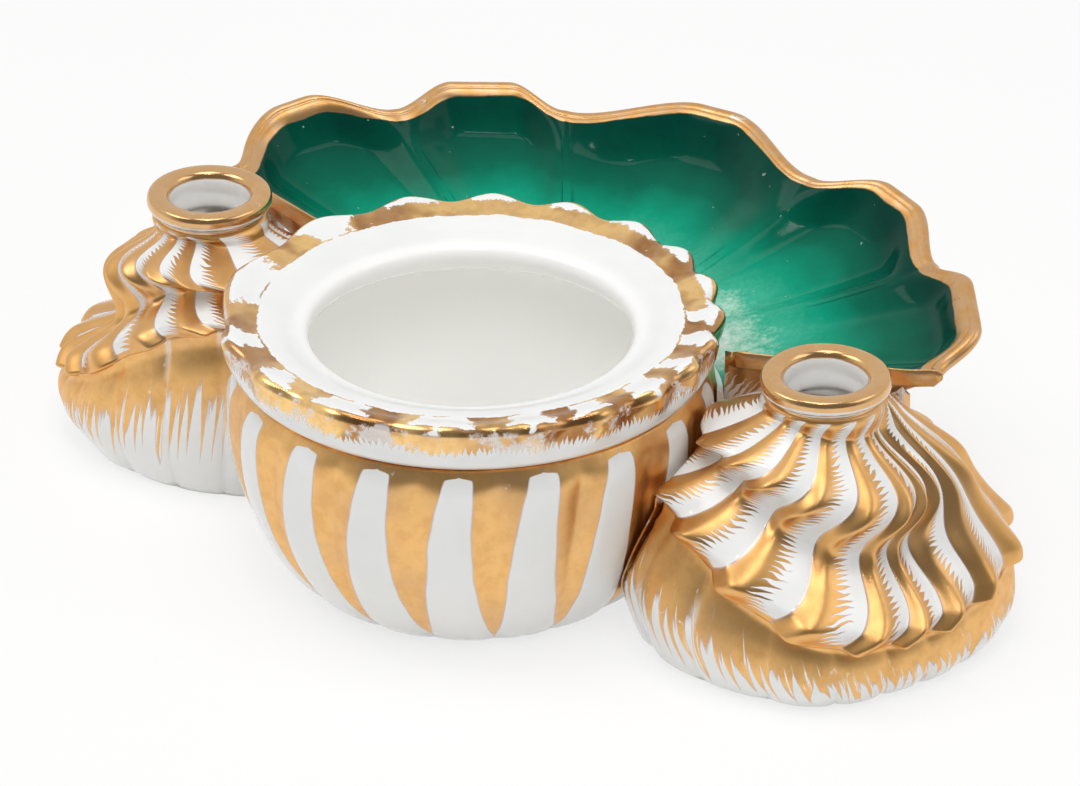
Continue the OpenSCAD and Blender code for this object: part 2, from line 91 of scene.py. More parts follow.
# %% Node helper
class Paint:
    """A material under construction, with short names for the nodes that it is made of."""

    def __init__(self, name):
        self.material = bpy.data.materials.new(name)
        self.material.use_nodes = True
        self.tree = self.material.node_tree
        self.tree.nodes.clear()

    def add(self, kind, **settings):
        node = self.tree.nodes.new(kind)
        for key, value in settings.items():
            setattr(node, key, value)
        return node

    def put(self, socket, value):
        if isinstance(value, bpy.types.NodeSocket):
            self.tree.links.new(value, socket)
        else:
            socket.default_value = value

    def math(self, operation, *values, clamp=False):
        node = self.add("ShaderNodeMath", operation=operation, use_clamp=clamp)
        for socket, value in zip(node.inputs, values):
            self.put(socket, value)
        return node.outputs[0]

    def plus(self, a, b):
        return self.math("ADD", a, b)

    def minus(self, a, b):
        return self.math("SUBTRACT", a, b)

    def times(self, a, b):
        return self.math("MULTIPLY", a, b)

    def most(self, a, b):
        return self.math("MAXIMUM", a, b)

    def least(self, a, b):
        return self.math("MINIMUM", a, b)

    def ease(self, value, low, high, start=0.0, end=1.0):
        """Goes smoothly from start to end as value goes from low to high."""
        node = self.add("ShaderNodeMapRange", interpolation_type="SMOOTHSTEP")
        for name, number in (("Value", value), ("From Min", low), ("From Max", high),
                             ("To Min", start), ("To Max", end)):
            self.put(node.inputs[name], number)
        return node.outputs["Result"]

    def object_place(self):
        return self.add("ShaderNodeTexCoord").outputs["Object"]

    def marks(self, name):
        """The three numbers that a piece keeps at its face corners under this name."""
        node = self.add("ShaderNodeAttribute", attribute_name=name)
        split = self.add("ShaderNodeSeparateXYZ")
        self.put(split.inputs[0], node.outputs["Vector"])
        return split.outputs[0], split.outputs[1], split.outputs[2]

    def spot(self, x, y, z=0.0):
        node = self.add("ShaderNodeCombineXYZ")
        for socket, value in zip(node.inputs, (x, y, z)):
            self.put(socket, value)
        return node.outputs[0]

    def noise(self, place, scale, detail=3.0, rough=0.55):
        node = self.add("ShaderNodeTexNoise")
        for name, value in (("Vector", place), ("Scale", scale), ("Detail", detail), ("Roughness", rough)):
            self.put(node.inputs[name], value)
        return node.outputs["Fac"]

    def teeth(self, phase):
        """A row of pointed teeth: 1 at each whole number and 0 halfway between."""
        node = self.math("PINGPONG", phase, 0.5)
        return self.minus(1.0, self.times(node, 2.0))

    def blend(self, share, a, b):
        node = self.add("ShaderNodeMix", data_type="RGBA")
        self.put(node.inputs["Factor"], share)
        self.put(node.inputs[6], a)
        self.put(node.inputs[7], b)
        return node.outputs[2]

    def bump(self, height, distance, normal=None):
        node = self.add("ShaderNodeBump")
        self.put(node.inputs["Strength"], 1.0)
        self.put(node.inputs["Distance"], distance)
        self.put(node.inputs["Height"], height)
        if normal is not None:
            self.put(node.inputs["Normal"], normal)
        return node.outputs[0]

    def surface(self, **values):
        """The finished surface, from the main shader's inputs by name."""
        shader = self.add("ShaderNodeBsdfPrincipled")
        for key, value in values.items():
            self.put(shader.inputs[key.replace("_", " ")], value)
        output = self.add("ShaderNodeOutputMaterial")
        self.put(output.inputs["Surface"], shader.outputs[0])
        return self.material


print("node helper ready")

# %% [markdown]
# ## Daylight studio
# A white table and soft lamps. Polished gold shows whatever stands round it, so the room behind the
# camera is kept dimmer than the table: that is what turns gold brown where it faces the room.

# %% Floor, lamps and room
table_half = 3.0
table_glow = 0.72
table_white = (0.93, 0.93, 0.925, 1)
room_dim = 0.25
room_bright = 0.95
room_light = 0.38
bowl_bounces = 18

floor_bm = bmesh.new()
bmesh.ops.create_grid(floor_bm, x_segments=1, y_segments=1, size=table_half)
floor_mesh = bpy.data.meshes.new("table")
floor_bm.to_mesh(floor_mesh)
floor_bm.free()
floor = bpy.data.objects.new("table", floor_mesh)
scene.collection.objects.link(floor)

cloth = Paint("table white")
rays = cloth.add("ShaderNodeLightPath")
seen = cloth.most(rays.outputs["Is Camera Ray"], rays.outputs["Is Glossy Ray"])
seen = cloth.most(seen, rays.outputs["Is Transmission Ray"])
matt = cloth.add("ShaderNodeBsdfDiffuse")
matt.inputs["Color"].default_value = table_white
glow = cloth.add("ShaderNodeEmission")
glow.inputs["Color"].default_value = (1, 1, 1, 1)
glow.inputs["Strength"].default_value = 1.0
both = cloth.add("ShaderNodeMixShader")
cloth.put(both.inputs[0], cloth.times(seen, table_glow))
cloth.put(both.inputs[1], matt.outputs[0])
cloth.put(both.inputs[2], glow.outputs[0])
cloth.put(cloth.add("ShaderNodeOutputMaterial").inputs["Surface"], both.outputs[0])
floor_mesh.materials.append(cloth.material)

world = bpy.data.worlds.new("room")
scene.world = world
world.use_nodes = True
room = world.node_tree
room.nodes.clear()


def room_node(kind, **settings):
    node = room.nodes.new(kind)
    for key, value in settings.items():
        setattr(node, key, value)
    return node


looking = room_node("ShaderNodeTexCoord")
toward = room_node("ShaderNodeVectorMath", operation="DOT_PRODUCT")
dim_side = Vector((math.sin(view_turn), -math.cos(view_turn), 0.55)).normalized()
toward.inputs[1].default_value = dim_side
room.links.new(looking.outputs["Generated"], toward.inputs[0])
fall = room_node("ShaderNodeMapRange", interpolation_type="SMOOTHSTEP")
fall.inputs["From Min"].default_value = 0.08
fall.inputs["From Max"].default_value = 0.82
fall.inputs["To Min"].default_value = room_bright
fall.inputs["To Max"].default_value = room_dim
room.links.new(toward.outputs["Value"], fall.inputs["Value"])
room_rays = room_node("ShaderNodeLightPath")
even_light = room_node("ShaderNodeMix", data_type="FLOAT")
even_light.inputs[3].default_value = room_light
room.links.new(room_rays.outputs["Is Diffuse Ray"], even_light.inputs[0])
room.links.new(fall.outputs["Result"], even_light.inputs[2])
white_behind = room_node("ShaderNodeMix", data_type="FLOAT")
white_behind.inputs[3].default_value = 1.0
room.links.new(room_rays.outputs["Is Camera Ray"], white_behind.inputs[0])
room.links.new(even_light.outputs[0], white_behind.inputs[2])
sky = room_node("ShaderNodeBackground")
room.links.new(white_behind.outputs[0], sky.inputs["Strength"])
room.links.new(sky.outputs[0], room_node("ShaderNodeOutputWorld").inputs["Surface"])


def softbox(name, turn, rise, distance, width, watts, in_gold=True):
    """A lamp that looks at the middle of the object, and shows or does not show in the gold."""
    data = bpy.data.lights.new(name, "AREA")
    data.shape = "RECTANGLE"
    data.size = width
    data.size_y = width * 0.7
    data.energy = watts
    lamp = bpy.data.objects.new(name, data)
    turn, rise = math.radians(turn), math.radians(rise)
    away = Vector((math.sin(turn) * math.cos(rise), -math.cos(turn) * math.cos(rise), math.sin(rise)))
    lamp.location = Vector((0, 0.02, 0.03)) + away * distance
    lamp.rotation_euler = away.to_track_quat("Z", "Y").to_euler()
    lamp.visible_glossy = in_gold
    scene.collection.objects.link(lamp)


# Light in a white bowl goes from wall to wall many times before it leaves.
scene.cycles.max_bounces = bowl_bounces + 2
scene.cycles.diffuse_bounces = bowl_bounces
softbox("lamp overhead", 10, 87, 1.5, 0.7, 3.0)
softbox("fill overhead", 10, 87, 1.5, 1.2, 6.9, in_gold=False)
softbox("fill over the camera", 30, 54, 1.6, 0.9, 5.4, in_gold=False)
softbox("lamp over the left", -62, 52, 1.6, 0.7, 3.2)
softbox("lamp over the right", 110, 46, 1.6, 1.0, 2.4)
softbox("spark on the front", 22, 68, 1.6, 0.16, 0.9)
softbox("spark on the left", -40, 60, 1.6, 0.14, 0.4)
print("stage ready:", len(bpy.data.lights), "lamps")

# %% [markdown]
# ## Clay
# Every large piece starts as a flat sheet of clay, a grid of square faces. It is rolled up either into a
# ring, for anything with a hole through it, or into a ball, for anything with a bottom, and its edges are
# joined. Spinning a circle gives the same ring, but takes far longer at this fineness. The points are then
# pushed to their places, as a thumb would push them, from each point's column and row.


# %% Clay ring, clay ball and finishing
def rolled_sheet(columns, rows, roll):
    """A grid rolled up by roll, which turns shares across and up the sheet into places."""
    bm = bmesh.new()
    bmesh.ops.create_grid(bm, x_segments=columns, y_segments=rows, size=1)
    flat = np.array([v.co[:2] for v in bm.verts])
    for vert, place in zip(bm.verts, roll((flat[:, 0] + 1) / 2, (flat[:, 1] + 1) / 2)):
        vert.co = place
    bmesh.ops.remove_doubles(bm, verts=bm.verts[:], dist=1e-6)
    return bm, np.array([v.co[:] for v in bm.verts])


def clay_ring(columns, rows, sweep=360):
    """A closed ring, or part of one with its two ends filled, and each point's column and row."""
    def roll(across, up):
        turn, bend = np.radians(across * sweep), up * 2 * np.pi
        out = 1 + 0.5 * np.cos(bend)
        return np.column_stack([out * np.cos(turn), out * np.sin(turn), 0.5 * np.sin(bend)])

    bm, at = rolled_sheet(columns, rows, roll)
    if sweep < 360:
        bmesh.ops.holes_fill(bm, edges=[e for e in bm.edges if e.is_boundary], sides=0)
    column = np.rint(np.degrees(np.arctan2(at[:, 1], at[:, 0])) / sweep * columns)
    row = np.rint(np.arctan2(at[:, 2], np.hypot(at[:, 0], at[:, 1]) - 1) / (2 * np.pi) * rows)
    return bm, column % columns if sweep == 360 else column, row % rows


def clay_ball(columns, rows):
    """A sphere, with row 0 at the bottom pole and the last row at the top, and the columns and rows."""
    def roll(across, up):
        turn, tilt = across * 2 * np.pi, (up - 0.5) * np.pi
        return np.column_stack([np.cos(tilt) * np.cos(turn), np.cos(tilt) * np.sin(turn), np.sin(tilt)])

    bm, at = rolled_sheet(columns, rows, roll)
    column = np.rint(np.degrees(np.arctan2(at[:, 1], at[:, 0])) / 360 * columns) % columns
    row = np.rint(rows - np.arccos(np.clip(at[:, 2], -1, 1)) / np.pi * rows)
    return bm, column, row


def corner_points(mesh):
    """The number of the point at each face corner."""
    owner = np.empty(len(mesh.loops), int)
    mesh.loops.foreach_get("vertex_index", owner)
    return owner


def corner_steps(mesh, steps, total):
    """Column or row of each face corner, counted on past the join where a face closes the ring."""
    owner = corner_points(mesh)
    first = np.empty(len(mesh.polygons), int)
    mesh.polygons.foreach_get("loop_start", first)
    sides = np.empty(len(mesh.polygons), int)
    mesh.polygons.foreach_get("loop_total", sides)
    at = steps[owner]
    spread = np.maximum.reduceat(at, first) - np.minimum.reduceat(at, first)
    closing = np.repeat(spread > total / 2, sides)
    return np.where(closing & (at < total / 2), at + total, at)


def keep_marks(mesh, name, *numbers):
    """Keeps up to three numbers at each face corner, for the materials to read."""
    marks = mesh.attributes.new(name, "FLOAT_VECTOR", "CORNER")
    three = np.zeros((len(mesh.loops), 3), np.float32)
    for i, values in enumerate(numbers):
        three[:, i] = values
    marks.data.foreach_set("vector", three.ravel())


def make_piece(name, bm, places, material, nodes=()):
    """Pushes the points to their places, in millimetres, and finishes the piece, smooth and outwards."""
    mesh = bpy.data.meshes.new(name)
    bm.to_mesh(mesh)
    bm.free()
    at = np.array(places, float) * MM
    mesh.vertices.foreach_set("co", at.ravel())
    mesh.update()
    mesh.calc_loop_triangles()
    corners = np.empty(len(mesh.loop_triangles) * 3, int)
    mesh.loop_triangles.foreach_get("vertices", corners)
    a, b, c = at[corners.reshape(-1, 3)].transpose(1, 0, 2)
    if np.einsum("ij,ij->", a, np.cross(b, c)) < 0:
        mesh.flip_normals()
    mesh.shade_smooth()
    mesh.materials.append(material)
    piece = bpy.data.objects.new(name, mesh)
    scene.collection.objects.link(piece)
    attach(piece, "root")
    if nodes:
        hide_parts(*nodes)
    print(name, len(mesh.polygons), "faces")
    return piece


def ease(x):
    x = np.clip(x, 0, 1)
    return x * x * (3 - 2 * x)


def mix(a, b, share):
    return a + (b - a) * share


def smooth_path(points, count, closed=False):
    """A curve through the points, sampled evenly along its length. Row i is the i-th place."""
    knots = np.array(points, float)
    if closed:
        knots = np.vstack([knots[-1:], knots, knots[:2]])
    else:
        knots = np.vstack([2 * knots[0] - knots[1], knots, 2 * knots[-1] - knots[-2]])
    fine = []
    for p0, p1, p2, p3 in zip(knots, knots[1:], knots[2:], knots[3:]):
        size = np.linalg.norm(p2 - p1)
        before = max(np.linalg.norm(p1 - p0), 1e-9)
        after = max(np.linalg.norm(p3 - p2), 1e-9)
        m1 = ((p1 - p0) / before + (p2 - p1) / max(size, 1e-9)) / 2 * size
        m2 = ((p2 - p1) / max(size, 1e-9) + (p3 - p2) / after) / 2 * size
        u = np.linspace(0, 1, 24, endpoint=False)[:, None]
        fine.append((2 * u**3 - 3 * u**2 + 1) * p1 + (u**3 - 2 * u**2 + u) * m1
                    + (-2 * u**3 + 3 * u**2) * p2 + (u**3 - u**2) * m2)
    fine = np.vstack(fine + [knots[1:2] if closed else knots[-2:-1]])
    along = np.concatenate([[0], np.cumsum(np.linalg.norm(np.diff(fine, axis=0), axis=1))])
    wanted = np.linspace(0, along[-1], count, endpoint=not closed)
    return np.column_stack([np.interp(wanted, along, fine[:, 0]), np.interp(wanted, along, fine[:, 1])])


def round_curve(values, turn):
    """Value at an angle on a closed curve through evenly spaced control values."""
    values = np.array(values)
    count = len(values)
    place = (np.asarray(turn) % 360) / 360 * count
    i = np.floor(place).astype(int)
    u = place - i
    v0, v1, v2, v3 = (values[(i + k) % count] for k in (-1, 0, 1, 2))
    return ((2 * u**3 - 3 * u**2 + 1) * v1 + (u**3 - 2 * u**2 + u) * (v2 - v0) / 2
            + (-2 * u**3 + 3 * u**2) * v2 + (u**3 - u**2) * (v3 - v1) / 2)


print("clay ready")

# %% [markdown]
# ## Gold on porcelain
# Gilding is a film of real gold fired onto the glaze, so the two share one surface: where the mask is
# one the surface is metal, and where it is zero it is glazed porcelain. A thin mauve line stands along
# the edge of the film, and rubbed spots let the white through.

# %% Colours
porcelain_white = (0.90, 0.905, 0.895, 1)
porcelain_shade = (0.87, 0.88, 0.865, 1)
# A lighter white for the insides of the pot, throat, holes and wells: painted light against the shade there.
painted_light_white = (0.985, 0.98, 0.962, 1)
gold_light = (0.83, 0.465, 0.165, 1)
gold_deep = (0.72, 0.38, 0.125, 1)
gold_tan = (0.78, 0.48, 0.22, 1)
gold_edge = (0.58, 0.42, 0.40, 1)
gold_rose = (0.72, 0.44, 0.22, 1)
gold_satin = (0.92, 0.55, 0.21, 1)
glaze_rough = 0.07
gold_rough = 0.28


# %% Gilded surface
def gilded(paint, mask, place, edge=0.0, gold=gold_light, rough=gold_rough, hollow=0.0):
    """One surface that is gold where mask is 1 and glazed porcelain where it is 0; where hollow is 1 the porcelain is
    painted a lighter white, as painted light against the shade inside.
    """
    cloud = paint.noise(place, 60, 3)
    tone = paint.blend(paint.ease(cloud, 0.35, 0.7), porcelain_white, porcelain_shade)
    # Where hollow is 1 the white is lighter: painted light against the shade in the hollows.
    tone = paint.blend(hollow, tone, painted_light_white)
    rub = paint.noise(place, 240, 4, 0.65)
    metal = paint.blend(paint.ease(rub, 0.4, 0.66, 0.0, 0.4), gold, gold_deep)
    metal = paint.blend(paint.times(paint.ease(paint.noise(place, 38, 4, 0.6), 0.46, 0.64), 0.5), metal, gold_rose)
    scratch = paint.noise(place, 900, 4, 0.7)
    thin = paint.ease(scratch, 0.69, 0.76)
    colour = paint.blend(paint.times(thin, 0.45), metal, gold_edge)
    colour = paint.blend(mask, tone, colour)
    colour = paint.blend(paint.times(edge, 0.55), colour, gold_edge)
    shine = paint.plus(rough, paint.times(paint.minus(rub, 0.5), 0.16))
    roughness = paint.plus(glaze_rough, paint.times(mask, paint.minus(shine, glaze_rough)))
    metallic = paint.times(mask, paint.minus(1.0, paint.times(thin, 0.5)))
    ripple = paint.plus(paint.times(paint.noise(place, 90, 2), 0.6), paint.times(rub, paint.times(mask, 0.14)))
    normal = paint.bump(ripple, 0.00022)
    return paint.surface(Base_Color=colour, Metallic=metallic, Roughness=roughness, Normal=normal)


def film(paint, reach, soft=0.02):
    """Mask and edge line of a gold film, from how far inside it a point is."""
    mask = paint.ease(reach, -soft, soft)
    line = paint.minus(paint.ease(reach, -3.5 * soft, 0.0), paint.ease(reach, 0.0, 3.5 * soft))
    return mask, line


plain = Paint("white porcelain")
plain_place = plain.object_place()
plain_cloud = plain.noise(plain_place, 60, 3)
plain_tone = plain.blend(plain.ease(plain_cloud, 0.35, 0.7), porcelain_white, porcelain_shade)
plain_porcelain = plain.surface(
    Base_Color=plain_tone, Roughness=glaze_rough,
    Normal=plain.bump(plain.noise(plain_place, 90, 2), 0.0002))
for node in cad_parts.values():
    node.data.materials.clear()
    node.data.materials.append(plain_porcelain)
print("porcelain on", len(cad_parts), "CAD nodes")

# %% [markdown]
# ## The pot
# The pot was thrown round and then fluted: eighteen white ribs with shallow grooves between them. A gold
# tongue fills each groove, wide under the collar and pointed at the foot, and bends like a fin.

# %% Sizes of the pot
pot_foot_r = 41
pot_belly_r = 60.5
pot_belly_z = 46
pot_neck_r = 57
pot_height = 57
pot_flutes = 18
groove = 1.6
pot_wall = 4
pot_floor = 6
fin_bend = 0.14
pot_profile = [
    (0, pot_foot_r),
    (4, mix(pot_foot_r, pot_belly_r, 0.26)),
    (pot_belly_z * 0.26, mix(pot_foot_r, pot_belly_r, 0.56)),
    (pot_belly_z * 0.48, mix(pot_foot_r, pot_belly_r, 0.795)),
    (pot_belly_z * 0.74, mix(pot_foot_r, pot_belly_r, 0.95)),
    (pot_belly_z, pot_belly_r),
    (mix(pot_belly_z, pot_height, 0.6), mix(pot_belly_r, pot_neck_r, 0.2)),
    (pot_height, pot_neck_r),
]
pot_side = smooth_path(pot_profile, 121)


def pot_r(z):
    return np.interp(z, pot_side[:, 0], pot_side[:, 1])


# %% [markdown]
# The tongues and the grooves use one number, the flute that a point is on, counted round the pot. It
# leans sideways with depth, so the gold and the groove under it bend together.


# %% Pot shape
def fin_lean(depth):
    return fin_bend * np.sin(np.pi * np.clip(depth, 0, 1))


def pot_piece():
    columns, rows = pot_flutes * 20, 150
    bm, column, row = clay_ball(columns, rows)
    outer = smooth_path([(0, 0), (20, 0), (pot_foot_r - 1.5, 0), (pot_foot_r + 0.6, 1.2)], 12)
    side = smooth_path([(r, z) for z, r in pot_side[4::4]], 84)
    bore_r = pot_neck_r - groove - pot_wall
    inner = smooth_path([
        (bore_r, pot_height), (pot_belly_r - groove - pot_wall, pot_belly_z),
        (pot_r(30) - groove - pot_wall, 30), (pot_r(16) - groove - pot_wall, 16),
        (pot_foot_r - pot_wall - 4, pot_floor + 2.5), (pot_foot_r - 16, pot_floor), (0, pot_floor),
    ], rows + 1 - len(outer) - len(side))
    section = np.vstack([outer, side, inner])
    step = row.astype(int)
    turn = np.radians(column * 360 / columns)
    r, z = section[step].T
    is_side = (step >= len(outer) - 3) & (step < len(outer) + len(side))
    depth = 1 - z / pot_height
    flute = (np.degrees(turn) + 90) / 360 * pot_flutes + fin_lean(depth)
    hollow = groove * (1 - np.abs(np.sin(np.pi * flute))) ** 1.5
    hollow = hollow * ease((z + 1.5) / 5) * ease((pot_height + 1 - z) / 9)
    r = r - np.where(is_side, hollow, 0)
    z = np.maximum(z, 0)
    places = np.column_stack([r * np.cos(turn), r * np.sin(turn), z])
    piece = make_piece("fluted_pot", bm, places, pot_paint(), ["pot_body"])
    owner = corner_points(piece.data)
    around = corner_steps(piece.data, column, columns)
    keep_marks(piece.data, "flutes", around / columns * pot_flutes + pot_flutes / 4, z[owner], is_side[owner])


# %% [markdown]
# The width of a tongue follows its depth through a curve with a few handles, as it would be drawn with
# a brush: nearly the whole groove at the top, a third of it halfway, and a point at the foot.


# %% Paint of the pot
def pot_paint():
    paint = Paint("pot gilding")
    place = paint.object_place()
    flute, height, outside = paint.marks("flutes")
    wobble = paint.times(paint.minus(paint.noise(place, 45, 2), 0.5), 0.10)
    depth = paint.minus(1.0, paint.math("DIVIDE", height, pot_height))
    lean = paint.times(paint.math("SINE", paint.times(depth, math.pi)), fin_bend)
    across = paint.plus(paint.plus(flute, lean), wobble)
    off = paint.math("PINGPONG", across, 0.5)
    width = paint.add("ShaderNodeFloatCurve")
    paint.put(width.inputs["Value"], depth)
    curve = width.mapping.curves[0]
    for place_on, wide in ((0.022, 1.0), (0.036, 0.66), (0.10, 0.60), (0.3, 0.52), (0.5, 0.43), (0.7, 0.32),
                           (0.85, 0.19), (0.965, 0.0)):
        curve.points.new(place_on, wide / 2)
    curve.points[0].location = (0.0, 0.5)
    curve.points[-1].location = (1.0, 0.0)
    width.mapping.update()
    reach = paint.minus(width.outputs[0], off)
    mask, line = film(paint, reach, 0.006)
    band = paint.ease(height, pot_height - 1.5, pot_height - 1.1)
    mask = paint.times(paint.most(mask, band), outside)
    worn = paint.ease(paint.noise(place, 330, 5, 0.7), 0.66, 0.72)
    mask = paint.times(mask, paint.minus(1.0, paint.times(worn, 0.55)))
    # Inside the pot and under it the white is lighter: painted light against the shade in the bowl.
    return gilded(paint, mask, place, paint.times(line, outside), gold_satin, 0.42, hollow=paint.minus(1.0, outside))


pot_piece()

# %% [markdown]
# ## The collar
# The collar is a separate thrown ring: a flaring band, a rolled rim with a lobe over each rib, and a
# ledge that slopes down to the rounded lip of the throat, where the cover would sit.

# %% Collar shape
rim_r = 61.7
rim_lobes = 18
lobe_depth = 0.8
dip_depth = 0.35
dip_drop = 0.6
ledge_r = rim_r - 10.5
throat_r = 39.7
rim_z = 71
ledge_z = rim_z - 2
throat_z = ledge_z - 2.6
dip_angles = (-144, -122.8, -101.7, -77.6, -53, -35, -18.5, -2.5, 10.5, 23, 38, 53.5, 69.6, 88, 107, 127, 149,
              176, 216)


def lobe_number(degrees):
    """Lobe that an angle round the rim falls on; whole numbers are the dips, as the hand set them."""
    degrees = (degrees + 144) % 360 - 144
    return np.interp(degrees, dip_angles, range(len(dip_angles)))


def collar_piece():
    columns, rows = rim_lobes * 18, 128
    bm, column, row = clay_ring(columns, rows)
    bore_r = pot_neck_r - groove - pot_wall
    knots = [
        (pot_neck_r - 1.2, pot_height + 0.1), (pot_neck_r, pot_height + 0.25), (pot_neck_r + 0.9, pot_height + 1.0),
        (mix(pot_neck_r, rim_r, 0.47), pot_height + 2.3), (mix(pot_neck_r, rim_r, 0.8), pot_height + 6.5),
        (rim_r - 0.25, pot_height + 10.2), (rim_r, pot_height + 11.6), (rim_r - 0.5, pot_height + 13),
        (rim_r - 1.8, rim_z - 0.1), (rim_r - 3.4, rim_z - 0.15), (rim_r - 5.4, rim_z - 0.7),
        (rim_r - 8.2, rim_z - 1.7), (ledge_r, ledge_z - 0.1),
        (ledge_r - 3, ledge_z - 0.75), (throat_r + 5, throat_z + 0.55), (throat_r + 1.9, throat_z - 0.3),
        (throat_r + 0.6, throat_z - 1.3), (throat_r, throat_z - 3.0), (throat_r + 0.5, throat_z - 5.0),
        (throat_r + 1.9, throat_z - 7.0), (throat_r + 4.6, throat_z - 8.6), (bore_r, pot_height + 0.1),
    ]
    section = smooth_path(knots, rows, closed=True)
    step = row.astype(int)
    r, z = section[step].T
    turn = np.radians(column * 360 / columns)
    lobe = lobe_number(column * 360 / columns)
    wave = -np.cos(2 * np.pi * lobe)
    outer = ease((r - ledge_r + 0.5) / 6)
    share = outer * ease((z - pot_height - 1) / 9)
    hand = 0.25 * np.sin(5 * turn + 1) + 0.2 * np.sin(11 * turn)
    r = r + (lobe_depth * wave + dip_depth * (wave - 1) + 0.15 * hand) * share
    z = z + dip_drop * (wave - 1) * ease((z - pot_height - 9) / 4) * outer
    places = np.column_stack([r * np.cos(turn), r * np.sin(turn), z])
    piece = make_piece("lobed_collar", bm, places, collar_paint(), ["pot_collar"])
    owner = corner_points(piece.data)
    around = corner_steps(piece.data, column, columns) * 360 / columns
    turns = np.floor((around + 144) / 360)
    keep_marks(piece.data, "rim", lobe_number(around) + turns * rim_lobes, r[owner], z[owner])


# %% [markdown]
# Cleaning and handling have rubbed the rim: the gold is left in the dips between the lobes and gone from
# their tops. At the back, out of reach of the writer's hand, it is whole.


# %% Paint of the collar
rim_bright = (1.0, 0.66, 0.27, 1)
rim_brown = (0.40, 0.19, 0.07, 1)


def collar_paint():
    paint = Paint("rim gilding")
    place = paint.object_place()
    lobe, out, height = paint.marks("rim")
    cloud = paint.noise(place, 70, 3, 0.6)
    fine = paint.noise(place, 330, 4, 0.7)
    split = paint.add("ShaderNodeSeparateXYZ")
    paint.put(split.inputs[0], place)
    behind = paint.ease(split.outputs[1], 0.022, 0.045)
    dip = paint.minus(1.0, paint.times(paint.math("PINGPONG", lobe, 0.5), 2.0))
    worn_by = paint.plus(paint.times(paint.minus(cloud, 0.5), 1.5), paint.times(paint.minus(fine, 0.5), 0.5))
    inner_edge = paint.plus(52.3, paint.times(paint.minus(cloud, 0.5), 2.4))
    inner_edge = paint.plus(inner_edge, paint.times(paint.minus(fine, 0.5), 2.0))
    inside = paint.ease(paint.minus(out, inner_edge), -0.12, 0.12)
    mottled = paint.plus(out, paint.times(paint.minus(fine, 0.5), 5.0))
    on_slope = paint.minus(1.0, paint.ease(mottled, 57.5, 58.1))
    slope_gold = paint.plus(paint.plus(dip, worn_by), paint.times(behind, 0.8))
    slope_gold = paint.times(paint.ease(slope_gold, 0.44, 0.51), on_slope)
    hair_line = paint.minus(1.0, paint.ease(paint.minus(out, inner_edge), 0.35, 0.6))
    slope_gold = paint.most(slope_gold, paint.times(hair_line, paint.ease(cloud, 0.45, 0.48)))
    crest_gold = paint.ease(paint.plus(dip, worn_by), 0.62, 0.67)
    edge_gold = paint.plus(paint.plus(paint.times(dip, 0.8), worn_by), paint.ease(out, 58.8, 61.2, 0.0, 0.60))
    edge_gold = paint.times(paint.ease(edge_gold, 0.56, 0.64), paint.ease(out, 58.0, 59.4))
    top = paint.times(inside, paint.most(slope_gold, paint.most(crest_gold, edge_gold)))
    lifted = paint.plus(height, paint.ease(out, 58.0, 57.0, 0.0, 4.0))
    is_wall = paint.minus(1.0, paint.ease(lifted, rim_z - 2.4, rim_z - 1.4))
    comb = paint.plus(paint.times(lobe, 15.0), paint.times(cloud, 5.0))
    tooth = paint.plus(paint.teeth(comb), paint.times(paint.teeth(paint.times(comb, 0.37)), 0.5))
    reach = paint.minus(height, paint.minus(pot_height + 8.6, paint.times(tooth, 2.2)))
    reach = paint.plus(reach, paint.times(paint.minus(fine, 0.5), 1.2))
    patchy = paint.times(paint.ease(paint.plus(cloud, paint.times(paint.minus(fine, 0.5), 0.8)), 0.50, 0.62), 0.75)
    wall_gold = paint.times(paint.ease(reach, -0.15, 0.15), paint.ease(out, 57.0, 57.5))
    wall_gold = paint.times(wall_gold, paint.minus(1.0, patchy))
    foot_line = paint.minus(1.0, paint.ease(height, pot_height + 0.6, pot_height + 0.9))
    foot_line = paint.times(foot_line, paint.ease(out, 55.5, 56.5))
    wall = paint.most(wall_gold, foot_line)
    mask = paint.plus(paint.times(is_wall, wall), paint.times(paint.minus(1.0, is_wall), top))
    speck = paint.ease(fine, 0.67, 0.73)
    mask = paint.times(mask, paint.minus(1.0, paint.times(speck, 0.7)))
    soft = paint.minus(paint.ease(mask, 0.02, 0.4), paint.ease(mask, 0.5, 0.98))
    # In the throat the white is lighter: painted light against the shade down into the pot.
    in_throat = paint.minus(1.0, paint.ease(out, throat_r + 1, throat_r + 5))
    # The gold goes from bright to brown in clouds, a little browner towards the dips.
    brown_cloud = paint.plus(paint.noise(place, 46, 3, 0.6), paint.times(paint.minus(dip, 0.5), 0.10))
    gold = paint.blend(paint.ease(brown_cloud, 0.43, 0.58), rim_bright, rim_brown)
    return gilded(paint, mask, place, paint.times(soft, 0.4), gold, 0.24, hollow=in_throat)


collar_piece()

# %% [markdown]
# ## The mouth rings
# Each inkwell has a flat ring round its mouth. The top is gilt down into the flare of the hole, the edge
# is white with a fine gold line, and the tube below is bare porcelain in a lighter white, painted light
# against the shade down the hole.

# %% Mouth rings
mouth_x, mouth_y = 89.9, 17.6
neck_z = 65
ring_r = 15.9
ring_h = 5.5
mouth_r = 9.5
ring_rows = 96


